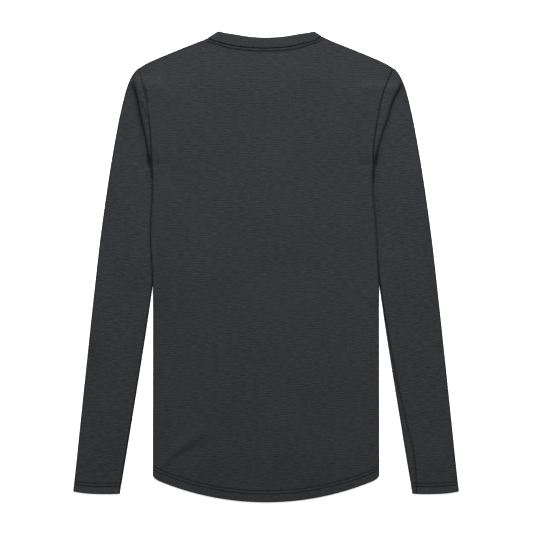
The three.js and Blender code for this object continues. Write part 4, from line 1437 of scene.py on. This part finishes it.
        # Painted shade along the outer and inner edges, where the cloth rounds away.
        total = total + 0.9 * (1 - smooth(outwards / 3.4)) + 0.8 * (1 - smooth(inwards / 3.0))
        # Painted shade of the tucks.
        on_top = rows["out_up"] > 0.5
        total = total + np.where(on_top, cut.tuck_shade(self.side.value * rows["across"], y), 0.0)
        return np.clip(total, -0.2, 1)

    def _points(self, rows: Rows, layer: int) -> Array:
        """Points of one surface of the given rows.

        Each is a place in the cross section moved along its normal by half the wall, which thins round the
        cuff's edge and at the seams, with the upper layer's relief and the dips of the stitched lines.

        Args:
            rows: what a cross section gives.
            layer: 1 for the outside, and -1 for the inside.

        Returns:
            A grid of points.
        """
        cut, sign, y = self.cut, self.side.value, rows["y"]
        wall = rows["wall"]
        to_seam = np.minimum(rows["stations"] - rows["first"], rows["last"] - rows["stations"])
        edge = edge_round(y - cut.cuff_y, wall) * edge_round(to_seam, wall)
        out = layer * wall / 2 * edge
        if layer > 0:
            strength = np.where(y > cut.armpit_y, cut.seam_strength(sign, y), 1.0)
            out = out - self.seam_dip * strength * bell(to_seam, 1.2)
            out = out + 0.14 * bell(to_seam - 3.2, 2.0) * (1 + 0.4 * np.sin(y / 2.9)) * (rows["out_up"] > 0)
            for line in self.cuff_lines:
                uneven = 1 + 0.3 * np.sin(rows["stations"] / 1.8)
                out = out - self.line_depth * bell(y - cut.cuff_y - line, 0.85) * uneven
            out = out + 0.12 * bell(y - cut.cuff_y - sum(self.cuff_lines) / 2, 1.3)
        offset = rows["across"] + out * rows["out"] - rows["fold_start"]
        factor = np.where(rows["leg"] == rows["outer_leg"], rows["stretch"], 1.0)
        across = rows["fold_start"] + offset * factor
        body = cut.body_edge(sign, y)
        share = np.clip((across - body) / (cut.sleeve_outer(rows["outer_y"]) - body), 0, 1)
        rise = np.where(y > cut.armpit_y, (rows["outer_y"] - y) * share, self._cuff_bow(across, y))
        up = rows["up"] + out * rows["out_up"] + self._upper_relief(rows, across)
        return np.stack([sign * across, y + rise, np.maximum(up, 0.0)], axis=2)

    def _heights(self) -> tuple[Array, Array]:
        """Heights of the rows above the armpit and below it, closer at the shoulder and the cuff."""
        cut = self.cut
        even = np.arange(301, cut.armpit_y + 3, -self.row_step)
        top = np.concatenate([[308.0, 307.2, 306.4, 305.0, 303.2], even, [cut.armpit_y + 1]])
        hem_top = cut.cuff_y + cut.cuff_depth + 4
        armpit = np.array([cut.tube_top_y, 144.6, 142.5, 140.5, 138.5, 136.5, 134.5, 132.5])
        lower = np.linspace(130, hem_top, round((130 - hem_top) / self.row_step))
        lines = np.linspace(hem_top, cut.cuff_y + 1.4, 32)[1:]
        end = cut.cuff_y + cut.hem_wall / 2 * (1 - np.cos(np.radians([70, 50, 30, 12, 0])))
        return top[:, None], np.concatenate([armpit, lower, lines, end])[:, None]

    def build(self) -> Object:
        """Makes the sleeve's mesh, with the cloth's pattern square to the sleeve's own length."""
        above, below = self._heights()
        sections = [self._armhole_rows(above), self._tube_rows(below)]
        outer = np.concatenate([self._points(rows, 1) for rows in sections])
        inner = np.concatenate([self._points(rows, -1) for rows in sections])
        lean = math.radians(self.lean_degrees)
        along = outer[..., 1] * math.cos(lean) - np.abs(outer[..., 0]) * math.sin(lean)
        across = np.concatenate([rows["stations"] for rows in sections])
        stitching_and_shade = np.concatenate([self._stitching_and_shade(rows) for rows in sections])
        return Wall(outer, inner, across, along, stitching_and_shade).mesh(f"{self.side.name.lower()}_sleeve_knit")

    def seam_lines(self) -> list[tuple[Array, Array]]:
        """Middles of the sleeve's seams, with the cloth's facing: round the armhole, then under the arm."""
        cut, sign = self.cut, self.side.value
        y = np.linspace(cut.tip[1] + 1.3, 126, 150)
        across = cut.body_edge(sign, y)
        lift = cut.edge_lift(sign, y) - 0.3
        upper = y > cut.armpit_y + 1
        top = np.stack([sign * across, y, float(cut.upper(cut.wall)) + lift], axis=1)[upper]
        low = np.stack([sign * across, y, np.full_like(y, cut.wall / 2)], axis=1)
        below = self._heights()[1][:-3]
        rows = self._tube_rows(below, cut.underarm_seam(sign, below))
        facing = np.stack([sign * rows["out"][:, 0], np.zeros(len(below)), rows["out_up"][:, 0]], axis=1)
        arm = np.stack([sign * rows["across"][:, 0], below[:, 0], rows["up"][:, 0]], axis=1) - 0.3 * facing
        return [(top, UPWARD), (low, UPWARD), (arm, facing)]

    def cuff_stitches(self) -> list[StitchLine]:
        """Two lines of stitches round the cuff, from the underarm seam and back to it."""
        lines = []
        for distance in self.cuff_lines:
            y = np.full((1, 1), self.cut.cuff_y + distance)
            ends = self._tube_rows(y)
            first, last = float(ends["first"][0, 0]) + 1.5, float(ends["last"][0, 0]) - 1.5
            rows = self._tube_rows(y, np.linspace(first, last, self.cuff_samples)[None, :])
            points = self._points(rows, 1)[0]
            out = self.side.value * rows["out"][0]
            facing = np.stack([out, np.zeros(self.cuff_samples), rows["out_up"][0]], axis=1)
            lines.append(StitchLine(points, facing, pitch=3.1))
        return lines


@dataclass
class NeckBand:
    """The neck band: a folded strip in a ring, creased flat at both shoulders."""

    cut: Cut
    back_edge: Table = Table((0, 22.5, 43, 59, 68, 74.8), (355.1, 356.3, 358.8, 361.5, 362.6, 363.4))
    front_edge_drop: float = 76.4
    crown: float = 0.35
    fold_share: float = 0.4
    back_count: int = 42
    turn_count: int = 12
    front_count: int = 60
    width_count: int = 18

    def _half(self) -> Rows:
        """Stations of half the ring, from the centre back round the shoulder's fold to the centre front.

        The back follows the tables of its seam and edge, the fold is half a circle about the line from the
        seam's end to the collar's end, and the front is a quarter of an ellipse.

        Returns:
            Seam and edge points, heights, and the direction that the cloth faces.
        """
        cut = self.cut
        seam_x = np.linspace(0, cut.neck_half_width, self.back_count)
        rank = np.linspace(0, 1, len(cut.neck_seam.at))
        place = np.interp(seam_x, cut.neck_seam.at, rank)
        seam = np.stack([seam_x, cut.neck_seam(seam_x)], axis=1)
        edge_x = Table(tuple(rank), self.back_edge.at)(place)
        edge = np.stack([edge_x, self.back_edge(edge_x)], axis=1)
        radius = float(cut.fold_radius(cut.band_wall))
        low, high = float(cut.lower(cut.band_wall)), float(cut.upper(cut.band_wall))
        line = edge[-1] - seam[-1]
        line = line / np.linalg.norm(line)
        outwards = np.array([line[1], -line[0]])
        angle = np.linspace(0, math.pi, self.turn_count + 2)[1:-1]
        shift = self.fold_share * radius * np.sin(angle)[:, None] * outwards[None, :]
        front = np.linspace(0, math.pi / 2, self.front_count)
        arc = np.stack([np.cos(front), -np.sin(front)], axis=1)
        half_width, top = cut.collar_end
        front_seam = (0, cut.neck_centre_y) + np.array([cut.neck_half_width, cut.front_drop]) * arc
        front_edge = (0, top) + np.array([half_width, self.front_edge_drop]) * arc
        back_ones, front_ones = np.ones(self.back_count), np.ones(self.front_count)
        outs = [back_ones[:, None] * 0 * outwards, self.fold_share * np.sin(angle)[:, None] * outwards]
        return {
            "seam": np.concatenate([seam, seam[-1] + shift, front_seam]),
            "edge": np.concatenate([edge, edge[-1] + shift, front_edge]),
            "up": np.concatenate([high * back_ones, low + radius * (1 + np.cos(angle)), low * front_ones]),
            "out": np.concatenate([*outs, front_ones[:, None] * 0 * outwards]),
            "out_up": np.concatenate([back_ones, np.cos(angle), -front_ones]),
        }

    def build(self) -> Object:
        """Makes the band, straight from its seam to its edge at each station, rounded at both and crowned."""
        right = self._half()
        ring = {key: np.concatenate([value, value[1:-1][::-1]]) for key, value in right.items()}
        count = len(right["up"])
        sign = np.concatenate([np.ones(count), -np.ones(count - 2)])
        width = np.linalg.norm(ring["edge"] - ring["seam"], axis=1)
        turn = 0.06 * (1 - np.cos(np.radians([0, 14, 28, 44, 62])))
        share = np.concatenate([turn, np.linspace(0.07, 0.93, self.width_count), 1 - turn[::-1]])
        distance = np.minimum(share[:, None], 1 - share[:, None]) * width[None, :]
        body = edge_round(distance, self.cut.band_wall)
        crown = self.crown * np.sin(np.pi * share)[:, None] * np.maximum(0, ring["out_up"])
        surfaces = []
        for layer in (1, -1):
            offset = layer * self.cut.band_wall / 2 * body
            flat = ring["seam"] + (ring["edge"] - ring["seam"]) * share[:, None, None]
            flat = flat + offset[..., None] * ring["out"]
            z = ring["up"] + offset * ring["out_up"] + crown
            surfaces.append(np.stack([flat[..., 0] * sign, flat[..., 1], z], axis=2))
        step = np.linalg.norm(np.diff(surfaces[0][0], axis=0, append=surfaces[0][0][:1]), axis=1)
        along = np.concatenate([[0.0], np.cumsum(step)])
        across = np.broadcast_to(along, (len(share), len(along)))
        up = share[:, None] * np.append(width, width[0])
        # Painted shade along the seam and the folded free edge, partly the seam's dark thread, and where the
        # band turns away from the light at the shoulders.
        seam_side = 0.65 * bell(distance, 1.2) * (share[:, None] < 0.5)
        free_side = 0.6 * bell(distance, 0.9) * (share[:, None] > 0.5)
        turned = 0.6 * (1 - np.abs(ring["out_up"]))
        stitching_and_shade = np.clip(seam_side + free_side + turned, 0, 1)
        return Wall(*surfaces, up, across, stitching_and_shade, ring=True).mesh("neck_band_knit")

    def seam_lines(self) -> list[tuple[Array, Array]]:
        """Middles of the band's seams to the back and the front, with the cloth's facing."""
        cut = self.cut
        x = np.linspace(-cut.neck_half_width, cut.neck_half_width, 120)
        y = cut.neck_seam(np.abs(x)) - cut.gap / 2
        level = float(cut.upper(cut.band_wall)) - 0.65
        back = np.stack([x, y, np.full_like(x, level)], axis=1)
        angle = np.linspace(0.03, math.pi - 0.03, 160)
        reach, drop = cut.neck_half_width + cut.gap / 2, cut.front_drop + cut.gap / 2
        front_y = cut.neck_centre_y - drop * np.sin(angle)
        front = np.stack([reach * np.cos(angle), front_y, np.full_like(angle, 0.75)], axis=1)
        return [(back, UPWARD), (front, UPWARD)]


@dataclass
class Studio:
    """A plain pale floor, soft lights and the camera above the top."""

    lens_mm: float = 85.0
    sensor_mm: float = 36.0
    view_width: float = 0.826
    centre: Place = (0.0007, 0.00085)
    floor_size: float = 60.0
    floor_drop: float = 0.0002
    floor_colour: tuple[float, float, float] = (0.9, 0.9, 0.9)
    key_place: tuple[float, float, float] = (0.1, 1.6, 1.62)
    key_size: float = 1.0
    key_energy: float = 80.0
    fill_place: tuple[float, float, float] = (0.2, -1.0, 2.4)
    fill_size: float = 2.0
    fill_energy: float = 7.0
    sky: float = 0.3

    def floor(self) -> Object:
        """A flat square just under the top."""
        half = self.floor_size / 2
        corners = np.array([[-half, -half], [half, -half], [half, half], [-half, half]])
        points = np.column_stack([corners, np.full(4, -self.floor_drop)])
        made = make_mesh("floor", points, np.array([[0, 1, 2, 3]]))
        made.data.materials.append(FloorPaint("floor_paint", self.floor_colour).build())
        return made

    def light(self, name: str, place: tuple[float, float, float], size: float, energy: float) -> None:
        """A square soft light aimed at the top."""
        lamp = bpy.data.lights.new(name, "AREA")
        lamp.size = size
        lamp.energy = energy
        made = bpy.data.objects.new(name, lamp)
        made.location = place
        towards = -np.array(place)
        towards /= np.linalg.norm(towards)
        turn = math.atan2(towards[1], towards[0]) - math.pi / 2
        made.rotation_euler = (math.acos(-towards[2]), 0.0, turn)
        bpy.context.scene.collection.objects.link(made)

    def camera(self) -> None:
        """Straight above, as far up as its lens needs to take in the view's width."""
        lens = bpy.data.cameras.new("camera")
        lens.lens = self.lens_mm
        lens.sensor_width = self.sensor_mm
        made = bpy.data.objects.new("camera", lens)
        made.location = (*self.centre, self.view_width * self.lens_mm / self.sensor_mm)
        bpy.context.scene.collection.objects.link(made)
        bpy.context.scene.camera = made

    def build(self) -> None:
        """Makes the camera, floor, sky and lights."""
        self.camera()
        self.floor()
        world = bpy.data.worlds.new("studio")
        world.use_nodes = True
        sky = world.node_tree.nodes["Background"]
        sky.inputs["Color"].default_value = (1.0, 1.0, 1.0, 1.0)
        sky.inputs["Strength"].default_value = self.sky
        bpy.context.scene.world = world
        bpy.context.scene.view_settings.view_transform = "Standard"
        self.light("key_light", self.key_place, self.key_size, self.key_energy)
        self.light("fill_light", self.fill_place, self.fill_size, self.fill_energy)


@dataclass
class BaseLayerTop:
    """The whole top: its pieces, their finishes and what each one stands for."""

    cut: Cut = field(default_factory=Cut)

    @staticmethod
    def _finish(made: Object, slot: str, material: Material, *nodes: str) -> Object:
        """Dresses a piece and joins it to the part.

        Args:
            made: the piece.
            slot: not used.
            material: its finish.
            nodes: the solids that it stands for.

        Returns:
            The piece.
        """
        made.data.materials.append(material)
        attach(made, "root")
        if nodes:
            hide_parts(*nodes)
        log.info("%s: %d faces", made.name, len(made.data.polygons))
        return made

    def back_creases(self) -> tuple[Crease, ...]:
        """Folds of the back, from the neck down."""
        return (
            Crease((-102, 57), (-157, -206), 1.2, 13, bow=6, trough=0.9, phase=0.4),
            Crease((-191, -344), (-79, -242), 3.6, 9.5, bow=8, trough=0.95, phase=1.2),
            Crease((168, -322), (140, -262), 0.9, 7, bow=-3, trough=0.7, phase=2.2),
            Crease((168, 235), (96, 300), 0.6, 11, bow=5, trough=0.5, phase=3.0),
            Crease((-170, 240), (-104, 306), 0.6, 10, bow=-4, trough=0.5, phase=0.9),
            Crease((60, -120), (-40, -190), 0.45, 18, bow=8, trough=0.4, phase=4.0),
            Crease((130, 60), (150, -120), 0.5, 15, bow=-6, trough=0.5, phase=5.0),
        )

    def sleeve_creases(self, side: Side) -> tuple[Crease, ...]:
        """Folds of one sleeve, from the shoulder to the cuff."""
        if side is Side.RIGHT:
            return (
                Crease((284, -318), (256, -268), 1.5, 6, bow=3, trough=0.7, phase=0.3),
                Crease((242, -262), (268, -200), 0.8, 7, bow=-3, trough=0.6, phase=1.4),
                Crease((190, 222), (222, 150), 0.7, 8, bow=4, trough=0.5, phase=2.6),
                Crease((230, 60), (205, 0), 0.6, 9, bow=3, trough=0.5, phase=3.9),
            )
        return (
            Crease((-286, -312), (-258, -270), 1.1, 6, bow=-3, trough=0.7, phase=0.8),
            Crease((-240, -250), (-266, -180), 0.8, 8, bow=3, trough=0.6, phase=2.1),
            Crease((-194, 226), (-222, 140), 0.7, 8, bow=-4, trough=0.5, phase=3.3),
            Crease((-232, 40), (-208, -30), 0.6, 9, bow=-3, trough=0.5, phase=4.2),
        )

    def build(self) -> None:
        """Makes every piece of the top and dresses it."""
        body = RibKnit("body_rib_knit", (0.0221, 0.0228, 0.025), rib_mm=3.6).build()
        arms = RibKnit("sleeve_rib_knit", (0.0222, 0.0231, 0.0253), rib_mm=3.4, heather=0.56).build()
        band_colour = (0.0219, 0.0227, 0.0253)
        band = RibKnit("band_knit", band_colour, rib_mm=1.6, rib_depth_mm=0.2, rib_shade=0.05).build()
        thread = SewingThread("sewing_thread", (0.005, 0.005, 0.0055)).build()
        creases = self.back_creases()
        back = BodyPanel(self.cut, Face.BACK, creases)
        front = BodyPanel(self.cut, Face.FRONT, creases, column_step=3.6, row_step=4.0)
        neck = NeckBand(self.cut)
        sleeves = [Sleeve(self.cut, side, self.sleeve_creases(side)) for side in Side]
        made = self._finish(back.build(), "body_knit", body, "back_panel")
        sewn = self._stitches("back_stitches", back.hem_stitches() + back.neck_stitches(), thread)
        made = self._finish(front.build(), "body_knit", body, "front_panel")
        sewn = self._stitches("front_stitches", front.hem_stitches() + front.neck_stitches(), thread)
        for sleeve in sleeves:
            name = sleeve.side.name.lower()
            made = self._finish(sleeve.build(), "sleeve_knit", arms, f"sleeve_{name}")
            sewn = self._stitches(f"{name}_cuff_stitches", sleeve.cuff_stitches(), thread)
            join = SeamJoin(f"{name}_sleeve_seams", sleeve.seam_lines())
            joined = self._finish(join.build(), "thread", thread)
        made = self._finish(neck.build(), "band_knit", band, "neck_band")
        join = SeamJoin("neck_seam", neck.seam_lines(), half_width=2.2)
        joined = self._finish(join.build(), "thread", thread)

    def _stitches(self, name: str, lines: list[StitchLine], thread: Material) -> Object:
        """Makes one piece's stitches, and dresses them in thread."""
        return self._finish(Stitching(name, lines).build(), "thread", thread)


def main() -> None:
    """Builds the studio and the top."""
    logging.basicConfig(level=logging.INFO, format="%(name)s: %(message)s")
    Studio().build()
    BaseLayerTop().build()
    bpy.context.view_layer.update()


if __name__ == "__main__":
    main()
